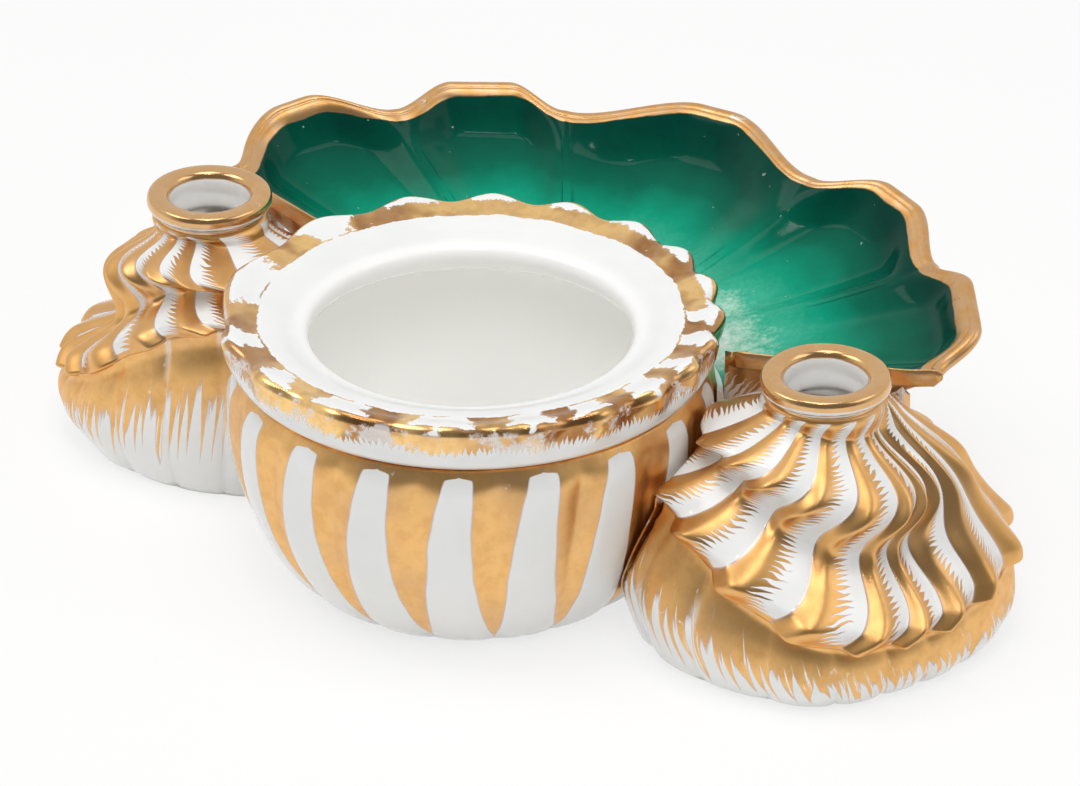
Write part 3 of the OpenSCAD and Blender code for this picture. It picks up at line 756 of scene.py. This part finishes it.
def ring_paint():
    paint = Paint("ring gilding")
    place = paint.object_place()
    out, height, _ = paint.marks("ring")
    cloud = paint.noise(place, 120, 3)
    wobble = paint.times(paint.minus(cloud, 0.5), 0.7)
    top = paint.ease(paint.plus(height, wobble), ring_h * 0.50, ring_h * 0.56)
    # deep is the inside of the hole: bare of gold except at the flare, and painted a lighter white as painted light
    # against its shade.
    deep = paint.minus(1.0, paint.ease(out, mouth_r + 2.4, mouth_r + 3.4))
    flare = paint.ease(paint.plus(height, wobble), ring_h - 2.0, ring_h - 1.6)
    top = paint.times(top, paint.most(flare, paint.minus(1.0, deep)))
    near = paint.math("ABSOLUTE", paint.minus(height, ring_h * 0.36))
    line = paint.times(paint.minus(1.0, paint.ease(near, 0.12, 0.28)), paint.ease(out, ring_r - 3, ring_r - 2))
    under = paint.minus(1.0, paint.ease(height, 0.35, 0.6))
    under = paint.times(under, paint.ease(out, mouth_r + 3, mouth_r + 3.4))
    rubbed = paint.ease(paint.noise(place, 420, 4, 0.7), 0.66, 0.74)
    mask = paint.most(top, paint.most(paint.times(line, 0.8), under))
    mask = paint.times(mask, paint.minus(1.0, paint.times(rubbed, 0.6)))
    return gilded(paint, mask, place, gold=gold_tan, rough=0.2, hollow=deep)


ring_gilding = ring_paint()


def ring_piece(name, side):
    columns = 96
    bm, column, row = clay_ring(columns, ring_rows)
    knots = [
        (mouth_r, -3.95), (mouth_r + 0.5, -4), (mouth_r + 1.15, -3.95), (mouth_r + 1.2, -0.1), (14.0, 0.0),
        (13.75, 0.5), (14.3, 1.15), (ring_r - 0.6, 1.7), (ring_r - 0.1, 2.4), (ring_r, 3.3), (ring_r - 0.1, 4.3),
        (ring_r - 0.65, 5.15), (ring_r - 1.8, ring_h), (mouth_r + 3.2, ring_h - 0.02), (mouth_r + 1.8, ring_h - 0.3),
        (mouth_r + 1.0, ring_h - 1.0), (mouth_r + 0.6, ring_h - 2.1), (mouth_r + 0.3, ring_h - 5),
    ]
    section = smooth_path(knots, ring_rows, closed=True)
    r, z = section[row.astype(int)].T
    turn = np.radians(column * 360 / columns)
    waver = 0.12 * np.sin(3 * turn + side) * ease((z + 0.5) / 2) * (z > 0)
    x = side * mouth_x + (r + waver) * np.cos(turn)
    y = mouth_y + (r + waver) * np.sin(turn)
    places = np.column_stack([x, y, neck_z + z])
    piece = make_piece(name, bm, places, ring_gilding, [name.replace("gilt_ring", "mouth_ring")])
    owner = corner_points(piece.data)
    keep_marks(piece.data, "ring", r[owner], z[owner])


ring_piece("right_gilt_ring", 1)
ring_piece("left_gilt_ring", -1)

# %% [markdown]
# ## The shell inkwells
# Each inkwell is a whelk-like shell: seventeen ribs leave the neck, swing sideways in steps and swell
# into knobs, and end in a rolled lip along the keel. A rib rises steeply from a sharp crease on one side
# and eases off to the next crease, as tiles overlap. Both shells come from the same few functions.

# %% Sizes of the shells
well_reach = 47
neck_r = 14.2
keel_low = 16.5
keel_high = 42
left_keel_rise = 4
well_ribs = 17
rib_high = 2.7
rib_turn = 52
knob = 0.15
tray_tuck = 0.16
foot_inset = 4.5
well_wall = 4.5
lute_gap = 1.8
rim_outer_r = 62.5
first_rib = -150
plans = {
    1: (0.915, 1, 0.98, 0.945, 0.915, 0.925, 0.93, 0.87, 0.825, 0.85, 0.905, 0.86),
    -1: (0.915, 0.98, 0.98, 0.945, 0.915, 0.915, 0.915, 0.85, 0.745, 0.715, 0.78, 0.85),
}
rises = {
    1: (0.1, 0.22, 0.24, 0.25, 0.38, 0.62, 0.85, 1, 0.78, 0.41, 0.1, 0),
    -1: (0.1, 0.14, 0.17, 0.22, 0.42, 0.7, 0.95, 1.1, 1.07, 0.78, 0.36, 0.12),
}
well_swell = 8.5
swells = {
    1: (0, 0, 0, 0, 0, 0.12, 0.6, 1, 1, 0.5, 0.18, 0.06),
    -1: (0, 0, 0, 0, 0, 0.06, 0.18, 0.24, 0.24, 0.2, 0.12, 0.04),
}
step_fade = {1: 12, -1: 75}
waist = {1: 0.0, -1: 0.22}
end_knob = {1: 0.45, -1: 0.12}
foot_tuck = {1: 0.0, -1: 4.5}
under_lip = {1: 0.9, -1: 1.9}


def reach_of(side, tk):
    return well_reach * round_curve(plans[side], tk)


def keel_of(side, tk):
    top = keel_high + (left_keel_rise if side < 0 else 0)
    return mix(keel_low, top, np.maximum(0, round_curve(rises[side], tk)))


def keel_angle(rib):
    """Angle round the mouth at which a rib meets the keel. The ribs crowd together at the front."""
    angle = first_rib + rib * 360 / well_ribs
    return angle + 10.5 * np.exp(-((angle + 66) / 38) ** 2)


def neck_turn(tk):
    """How far a rib has turned about the mouth by the time it reaches the neck."""
    front = rib_turn / 2 * (1 - np.cos(np.radians(np.clip((40 - tk) * 2, 0, 180))))
    return np.where(tk < 155, front, rib_turn * ease((tk - 155) / 50))


def to_pot(angle, z, gap):
    """Distance from the mouth's axis to the pot or its rim, along a ray at this angle."""
    rho = np.where(z > pot_height, rim_outer_r, pot_r(z)) + gap
    b = mouth_x * np.cos(angle) + mouth_y * np.sin(angle)
    q = b * b - mouth_x**2 - mouth_y**2 + rho**2
    return np.where((q < 0) | (b > 0), 1000, -b - np.sqrt(np.maximum(q, 0)))


def bell(side, tk, t):
    """Share of the way out from the neck to the keel, at depth t."""
    front = ease((step_fade[side] - tk) / 40)
    back = ease((tk - 40) / 40)
    stepped = np.where(tk > 150, mix(0.6, 1, ease((tk - 180) / 25)),
                       np.maximum(0.15 + 0.85 * front, 0.5 * back))
    dome = 0.7 * np.sin(t * np.pi / 2) + 0.3 * t
    ends = np.minimum(t / 0.15, 1) * np.clip((1.02 - t) / 0.1, 0, 1)
    tier = knob * np.cos(2 * np.pi * (t - 0.42) / 0.54) * ends
    tuck = tray_tuck * ease((tk - 72) / 40) * ease((170 - tk) / 25) * np.sin(np.pi * t)
    pinch = waist[side] * np.exp(-(((t - 0.82) / 0.15) ** 2)) * stepped
    return mix(dome, t + tier - 0.06 * np.sin(np.pi * t), stepped) - tuck - pinch


# %% [markdown]
# ## One rib
# The cross-section of a rib is what the light catches. The riser is steep and rounds over at the crest.
# At the two knobs the crest is fuller. Along the keel the rib ends in a lip that rolls over the body.


# %% Rib relief
crest_at = 0.30


def rib_relief(side, rib, t):
    u = rib - np.floor(rib)
    riser = ease(u / crest_at) ** 0.8
    slope = 1 - ease((u - crest_at) / (1 - crest_at)) ** 0.9
    body = np.where(u < crest_at, riser, slope)
    swell = 0.40 * np.exp(-(((t - 0.46) / 0.10) ** 2)) + end_knob[side] * np.exp(-(((t - 0.95) / 0.09) ** 2))
    full = 1 + swell * np.exp(-(((u - 0.3) / 0.22) ** 2))
    return (body * full - 0.5) * ease(t / 0.5 + 0.12) * mix(0.42, 1, np.clip(t, 0, 1))


def upper_places(side, rib, t, inset=0.0):
    tk = keel_angle(rib)
    swing = t + 0.95 / (4 * np.pi) * np.sin(4 * np.pi * t)
    angle = np.radians(tk + neck_turn(tk) * (1 - swing))
    z = mix(neck_z, keel_of(side, tk), t)
    full = mix(neck_r, reach_of(side, tk), bell(side, tk, t))
    relief = np.where(inset > 0, 0, rib_high * rib_relief(side, rib, t))
    r = np.minimum(full + relief - inset, to_pot(angle, z, lute_gap + inset))
    return angle, r, z


# %% [markdown]
# A ring of clay has no top or bottom of its own, so its rows are dealt out here: most run down the
# outside from the neck to the keel, a few roll the lip under, and the rest go up the inside.

# %% Upper shells
outer_rows = 92
lip_rows = 10
inner_rows = 16
throat_rows = 6
rib_columns = 26


def upper_shell(name, side, material):
    columns = well_ribs * rib_columns
    rows = outer_rows + lip_rows + inner_rows + throat_rows
    bm, column, row = clay_ring(columns, rows)
    rib = column / rib_columns
    down = np.clip(row / (outer_rows - 1), 0, 1)
    roll = np.clip((row - outer_rows + 1) / lip_rows, 0, 1)
    rise = np.clip((row - outer_rows - lip_rows + 1) / inner_rows, 0, 1)
    inside = row > outer_rows + lip_rows - 1
    in_throat = row >= outer_rows + lip_rows + inner_rows
    t = np.where(inside, mix(1, 0.14, rise), down)
    angle, r, z = upper_places(side, rib, t, np.where(inside, well_wall, 0.0))
    curl = np.sin(np.pi / 2 * roll)
    rolling = (row >= outer_rows) & ~inside
    r = np.where(rolling, r - mix(0, well_wall, 1 - np.cos(np.pi / 2 * roll)), r)
    z = np.where(rolling, z - 0.9 * np.sin(np.pi * roll * 0.75), z)
    up = (row - outer_rows - lip_rows - inner_rows) / (throat_rows - 1)
    throat_angle = np.radians(keel_angle(rib) + neck_turn(keel_angle(rib)))
    angle = np.where(in_throat, throat_angle, angle)
    r = np.where(in_throat, mouth_r + 1.5, r)
    z = np.where(in_throat, mix(neck_z - 5, neck_z, up), z)
    x = side * (mouth_x + r * np.cos(angle))
    y = mouth_y + r * np.sin(angle)
    places = np.column_stack([x, y, z])
    piece = make_piece(name, bm, places, material, [name.replace("ribbed_shell", "well_upper")])
    owner = corner_points(piece.data)
    around = corner_steps(piece.data, column, columns) / rib_columns
    shown = np.where(row < outer_rows, 1.0, np.where(rolling, 1.0 + curl, 0.0))
    keep_marks(piece.data, "ribs", around, t[owner], shown[owner])
    return piece


# %% [markdown]
# ## Gold on the ribs
# The gilder filled each riser and crest with gold and then combed it out to the right in short pointed
# strokes, so that the white slope keeps a feathered edge and the crease a clean one.


# %% Paint of the ribs
def rib_paint():
    paint = Paint("rib gilding")
    place = paint.object_place()
    rib, depth, shown = paint.marks("ribs")
    cloud = paint.noise(place, 75, 2)
    fine = paint.noise(place, 300, 3, 0.6)
    across = paint.math("FRACT", rib)
    stroke = paint.plus(paint.times(depth, 44.0), paint.times(cloud, 5.0))
    stroke = paint.plus(stroke, paint.times(across, 1.4))
    tooth = paint.teeth(stroke)
    length = paint.plus(0.12, paint.times(fine, 0.30))
    length = paint.plus(length, paint.times(paint.teeth(paint.times(stroke, 0.37)), 0.07))
    base = paint.plus(0.40, paint.times(paint.minus(cloud, 0.5), 0.12))
    base = paint.plus(base, paint.times(paint.ease(depth, 0.90, 1.0), 0.22))
    base = paint.plus(base, paint.times(paint.minus(1.0, paint.ease(depth, 0.0, 0.10)), 0.08))
    edge = paint.plus(base, paint.times(tooth, length))
    reach = paint.minus(edge, across)
    crease = paint.minus(across, 0.012)
    mask, line = film(paint, paint.least(reach, crease), 0.016)
    rolled = paint.ease(shown, 1.02, 1.2)
    lip = paint.ease(paint.plus(depth, paint.times(paint.minus(fine, 0.5), 0.02)), 0.972, 0.982)
    neck = paint.minus(1.0, paint.ease(depth, 0.018, 0.03))
    mask = paint.most(mask, paint.most(rolled, paint.most(lip, neck)))
    mask = paint.times(mask, paint.ease(shown, 0.5, 0.9))
    worn = paint.ease(paint.noise(place, 260, 5, 0.7), 0.67, 0.73)
    mask = paint.times(mask, paint.minus(1.0, paint.times(worn, 0.6)))
    # The inside of the well is painted a lighter white, as painted light against its shade.
    inside = paint.minus(1.0, paint.ease(shown, 0.1, 0.4))
    return gilded(paint, mask, place, paint.times(line, paint.ease(shown, 0.5, 0.9)), rough=0.35, hollow=inside)


rib_gilding = rib_paint()
upper_shell("right_ribbed_shell", 1, rib_gilding)
upper_shell("left_ribbed_shell", -1, rib_gilding)

# %% [markdown]
# ## The lower shells
# Under the keel the body swells again and tucks in to a flat foot, with a shallow flute under each rib.
# It is a ball of clay: bottom, outer wall, top edge hidden under the lip, and the hollow for the ink.

# %% Lower shells
foot_rows = 8
wall_rows = 56
well_floor = 5


def lower_shell(name, side, material):
    columns = well_ribs * 16
    rows = foot_rows + wall_rows + 24
    bm, column, row = clay_ball(columns, rows)
    rib = column / 16
    tk = keel_angle(rib)
    keel = keel_of(side, tk)
    angle = np.radians(tk)
    v = np.clip((row - foot_rows) / wall_rows, 0, 1)
    inside = row > foot_rows + wall_rows
    down = np.clip((row - foot_rows - wall_rows - 2) / 14, 0, 1)
    round_foot = 1 - np.sin(np.pi / 2 * np.minimum(v / 0.5, 1))
    hollow = under_lip[side] * np.exp(-(((v - 0.93) / 0.09) ** 2))
    flute = 1.3 * (1 - np.abs(np.sin(np.pi * rib))) ** 2.2 * (1 - 0.6 * v) * ease(v / 0.05 + 0.4)
    belly = 0.6 * np.sin(np.pi * np.clip(v / 0.8, 0, 1))
    outward = np.exp(-(((tk + 25 + 180) % 360 - 180) / 50) ** 2)
    belly = belly - foot_tuck[side] * outward * (1 - ease(v / 0.75))
    belly = belly + 2.6 * np.exp(-(((v - 0.88) / 0.08) ** 2)) * np.exp(-(((tk - 240) / 17) ** 2))
    share = well_swell * np.maximum(0, round_curve(swells[side], tk))
    swell = share * np.sin(np.pi / 2 * np.minimum(1, (1 - v) / 0.6))
    full = reach_of(side, tk) + swell - foot_inset * round_foot - hollow - flute + belly
    z = np.where(inside, mix(keel, well_floor, down), v * (keel - 0.3))
    foot_curve = ease(v / 0.06)
    full = full - 1.6 * (1 - foot_curve)
    level = np.clip(z / keel, 0, 1)
    swell = share * np.sin(np.pi / 2 * np.minimum(1, (1 - level) / 0.6))
    inner = reach_of(side, tk) + swell - foot_inset * (1 - np.sin(np.pi / 2 * np.minimum(level / 0.5, 1))) - well_wall
    r = np.where(inside, inner, full)
    r = np.minimum(r, to_pot(angle, z, lute_gap + np.where(inside, well_wall, 0.0)))
    bottom_share = np.clip(row / foot_rows, 0, 1)
    r = np.where(row < foot_rows, r * bottom_share, r)
    centre = np.clip((rows - row) / (rows - foot_rows - wall_rows - 16), 0, 1)
    r = np.where(inside, r * centre, r)
    x = side * (mouth_x + r * np.cos(angle))
    y = mouth_y + r * np.sin(angle)
    places = np.column_stack([x, y, z])
    node = name.replace("fluted_foot", "well_lower")
    piece = make_piece(name, bm, places, material, [node])
    owner = corner_points(piece.data)
    around = corner_steps(piece.data, column, columns) / 16
    outside = np.where(inside | (row < foot_rows), 0.0, 1.0)
    keep_marks(piece.data, "body", around, np.where(inside, 0, v)[owner], outside[owner])
    return piece


# %% [markdown]
# Here the brush went straight down. The strokes are long, of every length, and lean a little, and the
# gold has worn pinkish along the flutes where a cloth reaches it most.


# %% Paint of the lower shells
def body_paint(name, gold_from):
    paint = Paint(name)
    place = paint.object_place()
    rib, height, outside = paint.marks("body")
    cloud = paint.noise(place, 40, 2)
    fine = paint.noise(place, 260, 3, 0.6)
    lean = paint.plus(rib, paint.times(height, 0.35))
    bristle = paint.noise(paint.spot(paint.times(lean, 2.6), paint.times(height, 0.5)), 1.0, 2)
    stroke = paint.plus(paint.times(lean, 5.0), paint.times(bristle, 3.0))
    tooth = paint.teeth(stroke)
    second = paint.teeth(paint.plus(paint.times(stroke, 1.71), 0.3))
    length = paint.plus(0.14, paint.times(bristle, 0.68))
    long_ones = paint.times(paint.math("POWER", tooth, 1.3), length)
    short_ones = paint.times(second, 0.17)
    start = paint.plus(gold_from, paint.times(paint.minus(cloud, 0.5), 0.25))
    edge = paint.minus(start, paint.most(long_ones, short_ones))
    reach = paint.minus(height, edge)
    mask, line = film(paint, reach, 0.016)
    gap = paint.noise(paint.spot(paint.times(lean, 16.0), paint.times(height, 1.3)), 1.0, 3)
    slits = paint.times(paint.ease(gap, 0.60, 0.66), paint.minus(1.0, paint.ease(height, 0.62, 0.86)))
    mask = paint.times(mask, paint.minus(1.0, slits))
    flute = paint.minus(1.0, paint.times(paint.math("PINGPONG", rib, 0.5), 2.0))
    rubbed = paint.times(paint.ease(flute, 0.80, 1.0), paint.ease(cloud, 0.48, 0.62))
    rubbed = paint.most(rubbed, paint.ease(fine, 0.67, 0.74))
    mask = paint.times(paint.times(mask, outside), paint.minus(1.0, paint.times(rubbed, 0.6)))
    # Inside the well and under the foot the white is lighter: painted light against the shade there.
    return gilded(paint, mask, place, paint.times(line, outside), gold_satin, 0.46, hollow=paint.minus(1.0, outside))


lower_shell("right_fluted_foot", 1, body_paint("body gilding, right", 0.63))
lower_shell("left_fluted_foot", -1, body_paint("body gilding, left", 0.74))

# %% [markdown]
# ## The pen tray
# The tray is half of a scallop dish with five flat-topped lobes and four wide dips. Every dip carries a
# ridge down the dish towards the pot. Its rim is a rolled lip, gilt all round, and its front edges run
# straight from the pot to the two corners.

# %% Sizes of the tray
# Each dip of the rim as x, y and height, from the right front corner round to the left one.
rim_dips = np.array([(110.7, 49, 60.5), (81.5, 89.8, 65.3), (34.4, 110.2, 68.2), (-42.3, 112.1, 66.5),
                     (-80.7, 88.1, 66.8), (-110.7, 49, 60.5)])
# Each lobe between two dips: how far out and how high its top is, and the share of it that curves.
rim_lobe_shapes = ((6.5, 4.6, 0.32), (9.1, 4.9, 0.40), (14.3, 4.4, 0.44), (9.4, 3.5, 0.33), (11.3, 4.5, 0.43))
lobe_points = (46, 52, 60, 52, 46)
front_points = 26
corner_round = 5.5
corner_reach = 9
front_sweep = math.radians(19.4)
dish_z = 40
dish_y = 45
tray_wall = 3.8
lip_w = 3.6
steep_w = 9
crest_drop = 6
ridge_share = 0.26
lip_drop = 0.8
dish_straight = 0.37
green_rough = 0.11
lip_rough = 0.34
lip_roll = {"back": 1.6, "front": 2.8}
tray_inner_r = pot_belly_r + lute_gap

tip = rim_dips[0, :2]
dish_c = np.array([0, dish_y])
front_dir = np.array([math.cos(front_sweep), math.sin(front_sweep)])
front_b = tip @ front_dir
front_gap = rim_outer_r + 3
front_start = tip - (front_b - math.sqrt(front_b**2 - tip @ tip + front_gap**2)) * front_dir
tip_run = np.linalg.norm(tip - dish_c)

# %% [markdown]
# The rim is worked out first, as a row of stations from the right front corner round to the left one.
# Each station knows its place, its height, how far out on a lobe it is, and which lobe it belongs to.


# %% Rim stations
def rounded(at):
    """Draws the rim in towards the dish's centre near a front corner."""
    away = at - dish_c
    near = np.exp(-((np.linalg.norm(at * np.sign(at[:, :1] + 1e-9) ** (1, 0) - tip, axis=1) / corner_reach) ** 2))
    return at - away / np.linalg.norm(away, axis=1)[:, None] * (corner_round * near)[:, None]


def lobe_stations(number):
    v = np.arange(lobe_points[number]) / lobe_points[number]
    start, end = rim_dips[number], rim_dips[number + 1]
    run = end[:2] - start[:2]
    aside = np.array([run[1], -run[0]]) / np.linalg.norm(run)
    out, lift, curved = rim_lobe_shapes[number]
    crest = ease(np.minimum(v, 1 - v) / curved)
    at = rounded(start[:2] + run * v[:, None] + aside * (out * crest)[:, None])
    rim = mix(start[2], end[2], ease(v)) + lift * crest
    hollow = ease(np.minimum(v, 1 - v) / ridge_share)
    return np.column_stack([at, rim, hollow, np.zeros(len(v)), number + v])


def front_stations():
    v = np.arange(front_points) / front_points
    at = rounded(front_start + (tip - front_start) * v[:, None])
    flat = np.ones(front_points)
    return np.column_stack([at, rim_dips[0, 2] * flat, 0 * flat, flat, v - 1])


def rim_stations():
    right = front_stations()
    left = right[::-1] * (-1, 1, 1, 1, 1, -1)
    left[:, 5] += 5
    corner = np.array([[*rounded(rim_dips[-1:, :2])[0], rim_dips[-1, 2], 0, 1, 5]])
    return np.vstack([right, *[lobe_stations(number) for number in range(5)], corner, left])


def dish_floor(r, full, rim):
    t = r / full
    return dish_z + (rim - dish_z) * (dish_straight * t + (1 - dish_straight) * t * t)


def dish_top(r, edge_r, rim, crest, front):
    full = np.where(front > 0.5, tip_run, edge_r)
    inner = edge_r - lip_w
    under_rim = rim - crest * crest_drop
    rise = rim - lip_drop - dish_floor(inner, full, under_rim)
    return dish_floor(r, full, under_rim) + rise * ease(1 - (inner - r) / steep_w)


# %% [markdown]
# Each station is joined to the middle of the dish by a section: up the glazed face, over the lip and
# back along the underside. The ring of clay, opened at the front, is pushed onto these sections.

# %% Tray shape
tray_top_rows = 64
tray_lip_rows = 18
tray_under_rows = 38


def tray_piece():
    stations = rim_stations()
    columns = len(stations) - 1
    rows = tray_top_rows + tray_lip_rows + tray_under_rows
    bm, column, row = clay_ring(columns, rows, sweep=90)
    x, y, rim, crest, front, lobe = stations[column.astype(int)].T
    away = np.column_stack([x, y]) - dish_c
    edge_r = np.linalg.norm(away, axis=1)
    away = away / edge_r[:, None]
    b = away @ dish_c
    start = -b + np.sqrt(b * b - dish_c @ dish_c + tray_inner_r**2)
    inner = np.maximum(edge_r - lip_w, mix(start, edge_r, 0.5))
    on_top = row < tray_top_rows
    on_lip = (row >= tray_top_rows) & (row < tray_top_rows + tray_lip_rows)
    share = np.where(on_top, row / (tray_top_rows - 1), (rows - 1 - row) / (tray_under_rows - 1))
    share = np.clip(share, 0, 1)
    share = 1 - (1 - share) ** 1.25
    r = mix(start, inner, share)
    z = dish_top(r, edge_r, rim, crest, front)
    slope = np.arctan2(dish_top(r + 0.3, edge_r, rim, crest, front) - dish_top(r - 0.7, edge_r, rim, crest, front), 1)
    low_r = np.minimum(r + tray_wall * np.sin(slope) * share, edge_r - 0.7)
    low_z = z - tray_wall * np.cos(slope)
    bend = np.radians(mix(150, -35, (row - tray_top_rows) / (tray_lip_rows - 1)))
    lip_r = mix(inner, edge_r, 0.5) + (edge_r - inner) / 2 * np.cos(bend)
    roll = np.where(front > 0.5, lip_roll["front"], lip_roll["back"])
    lip_z = rim - roll + roll * np.sin(bend)
    r = np.where(on_top, r, np.where(on_lip, lip_r, low_r))
    z = np.where(on_top, z, np.where(on_lip, lip_z, low_z))
    at = dish_c + away * r[:, None]
    places = np.column_stack([at, z])
    piece = make_piece("scallop_dish", bm, places, tray_paint(), ["scallop_tray"])
    owner = corner_points(piece.data)
    kind = np.where(on_top, 0.0, np.where(on_lip, 1.0, 2.0))
    depth = np.where(on_top | ~on_lip, r / edge_r, 1.0)
    keep_marks(piece.data, "dish", lobe[owner], depth[owner], kind[owner])
    return piece


# %% [markdown]
# ## Green ground
# The green was laid with a sponge over the white: nearly black at the rim, bright halfway and broken up
# into specks as it thins towards the pot. Along the foot of each ridge a fine darker double line is
# painted shade of the crease there, with a shallow dent in the bump.


# %% Paint of the tray
def tray_paint():
    paint = Paint("green ground")
    place = paint.object_place()
    lobe, depth, kind = paint.marks("dish")
    cloud = paint.noise(place, 26, 3)
    sponge = paint.noise(place, 560, 5, 0.75)
    mottle = paint.noise(place, 110, 4, 0.65)
    share = paint.plus(depth, paint.times(paint.minus(cloud, 0.5), 0.16))
    share = paint.plus(share, paint.times(paint.minus(mottle, 0.5), 0.10))
    broken = paint.ease(share, 0.75, 0.38)
    share = paint.plus(share, paint.times(paint.times(paint.minus(sponge, 0.5), 0.30), broken))
    ramp = paint.add("ShaderNodeValToRGB")
    paint.put(ramp.inputs["Fac"], share)
    colours = (
        (0.33, (0.80, 0.86, 0.82, 1)), (0.41, (0.42, 0.70, 0.57, 1)), (0.50, (0.05, 0.44, 0.29, 1)),
        (0.63, (0.001, 0.310, 0.185, 1)), (0.77, (0.0, 0.130, 0.075, 1)), (0.93, (0.0, 0.050, 0.034, 1)),
    )
    band = ramp.color_ramp
    band.elements[0].position, band.elements[0].color = colours[0]
    band.elements[1].position, band.elements[1].color = colours[-1]
    for at, colour in colours[1:-1]:
        band.elements.new(at).color = colour
    green = ramp.outputs["Color"]
    near_ridge = paint.math("PINGPONG", lobe, 0.5)
    aside = paint.times(paint.times(near_ridge, 62.0), depth)
    # A darker green line on each side of every ridge's foot: painted shade of the crease there, pressed in a little
    # by the bump too.
    crease_shade = paint.minus(1.0, paint.ease(paint.math("ABSOLUTE", paint.minus(aside, 1.5)), 0.12, 0.42))
    crease_shade = paint.times(crease_shade, paint.times(paint.ease(depth, 0.42, 0.55), paint.ease(depth, 0.90, 0.78)))
    crease_shade = paint.times(crease_shade, paint.ease(paint.noise(place, 30, 2), 0.44, 0.56))
    green = paint.blend(paint.times(crease_shade, 0.3), green, (0.0, 0.05, 0.036, 1))
    chip = paint.ease(paint.noise(place, 300, 3, 0.5), 0.735, 0.75)
    green = paint.blend(paint.times(chip, 0.5), green, (0.55, 0.70, 0.62, 1))
    fine = paint.noise(place, 240, 4, 0.65)
    wobble = paint.times(paint.minus(paint.noise(place, 90, 3), 0.5), 0.012)
    on_face = paint.minus(1.0, paint.ease(kind, 0.15, 0.6))
    lip_line = paint.ease(paint.plus(depth, wobble), 0.940, 0.944)
    gold_top = paint.most(paint.ease(kind, 0.2, 0.5), lip_line)
    under = paint.ease(kind, 1.4, 1.8)
    stroke = paint.teeth(paint.plus(paint.times(lobe, 34.0), paint.times(mottle, 3.0)))
    hang = paint.plus(0.86, paint.times(paint.minus(1.0, stroke), 0.07))
    hang = paint.plus(hang, paint.times(paint.minus(cloud, 0.5), 0.16))
    below = paint.ease(paint.minus(depth, hang), -0.006, 0.006)
    mask = paint.plus(paint.times(gold_top, paint.minus(1.0, under)), paint.times(under, below))
    worn = paint.ease(paint.noise(place, 200, 5, 0.7), 0.64, 0.72)
    mask = paint.times(mask, paint.minus(1.0, paint.times(worn, 0.65)))
    gold = paint.blend(paint.ease(fine, 0.4, 0.66), gold_rose, gold_deep)
    base = paint.blend(on_face, porcelain_white, green)
    colour = paint.blend(mask, base, gold)
    metal_rough = paint.plus(lip_rough, paint.times(paint.minus(fine, 0.5), 0.14))
    rough = paint.plus(green_rough, paint.times(mask, paint.minus(metal_rough, green_rough)))
    ripple = paint.plus(paint.times(paint.noise(place, 85, 2), 0.6), paint.times(fine, paint.times(mask, 0.14)))
    normal = paint.bump(ripple, 0.00025)
    normal = paint.bump(paint.times(crease_shade, -1.0), 0.0003, normal)
    return paint.surface(Base_Color=colour, Metallic=mask, Roughness=rough, Specular_IOR_Level=0.09, Normal=normal)


tray_piece()

# %% [markdown]
# ## Luting
# The slip between pot and shells was gilded over with the rest, and worn. These thin pads are the CAD
# model's own pieces, so only their glaze is chosen here.


# %% Paint of the luting
def slip_paint():
    paint = Paint("slip gilding")
    place = paint.object_place()
    streak = paint.noise(place, 70, 4, 0.65)
    mask, line = film(paint, paint.minus(streak, 0.46), 0.02)
    return gilded(paint, mask, place, line, gold=gold_tan, rough=0.34)


slip_gilding = slip_paint()
for name in ("right_pot_seam", "left_pot_seam", "right_tray_seat", "left_tray_seat"):
    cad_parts[name].data.materials[0] = slip_gilding
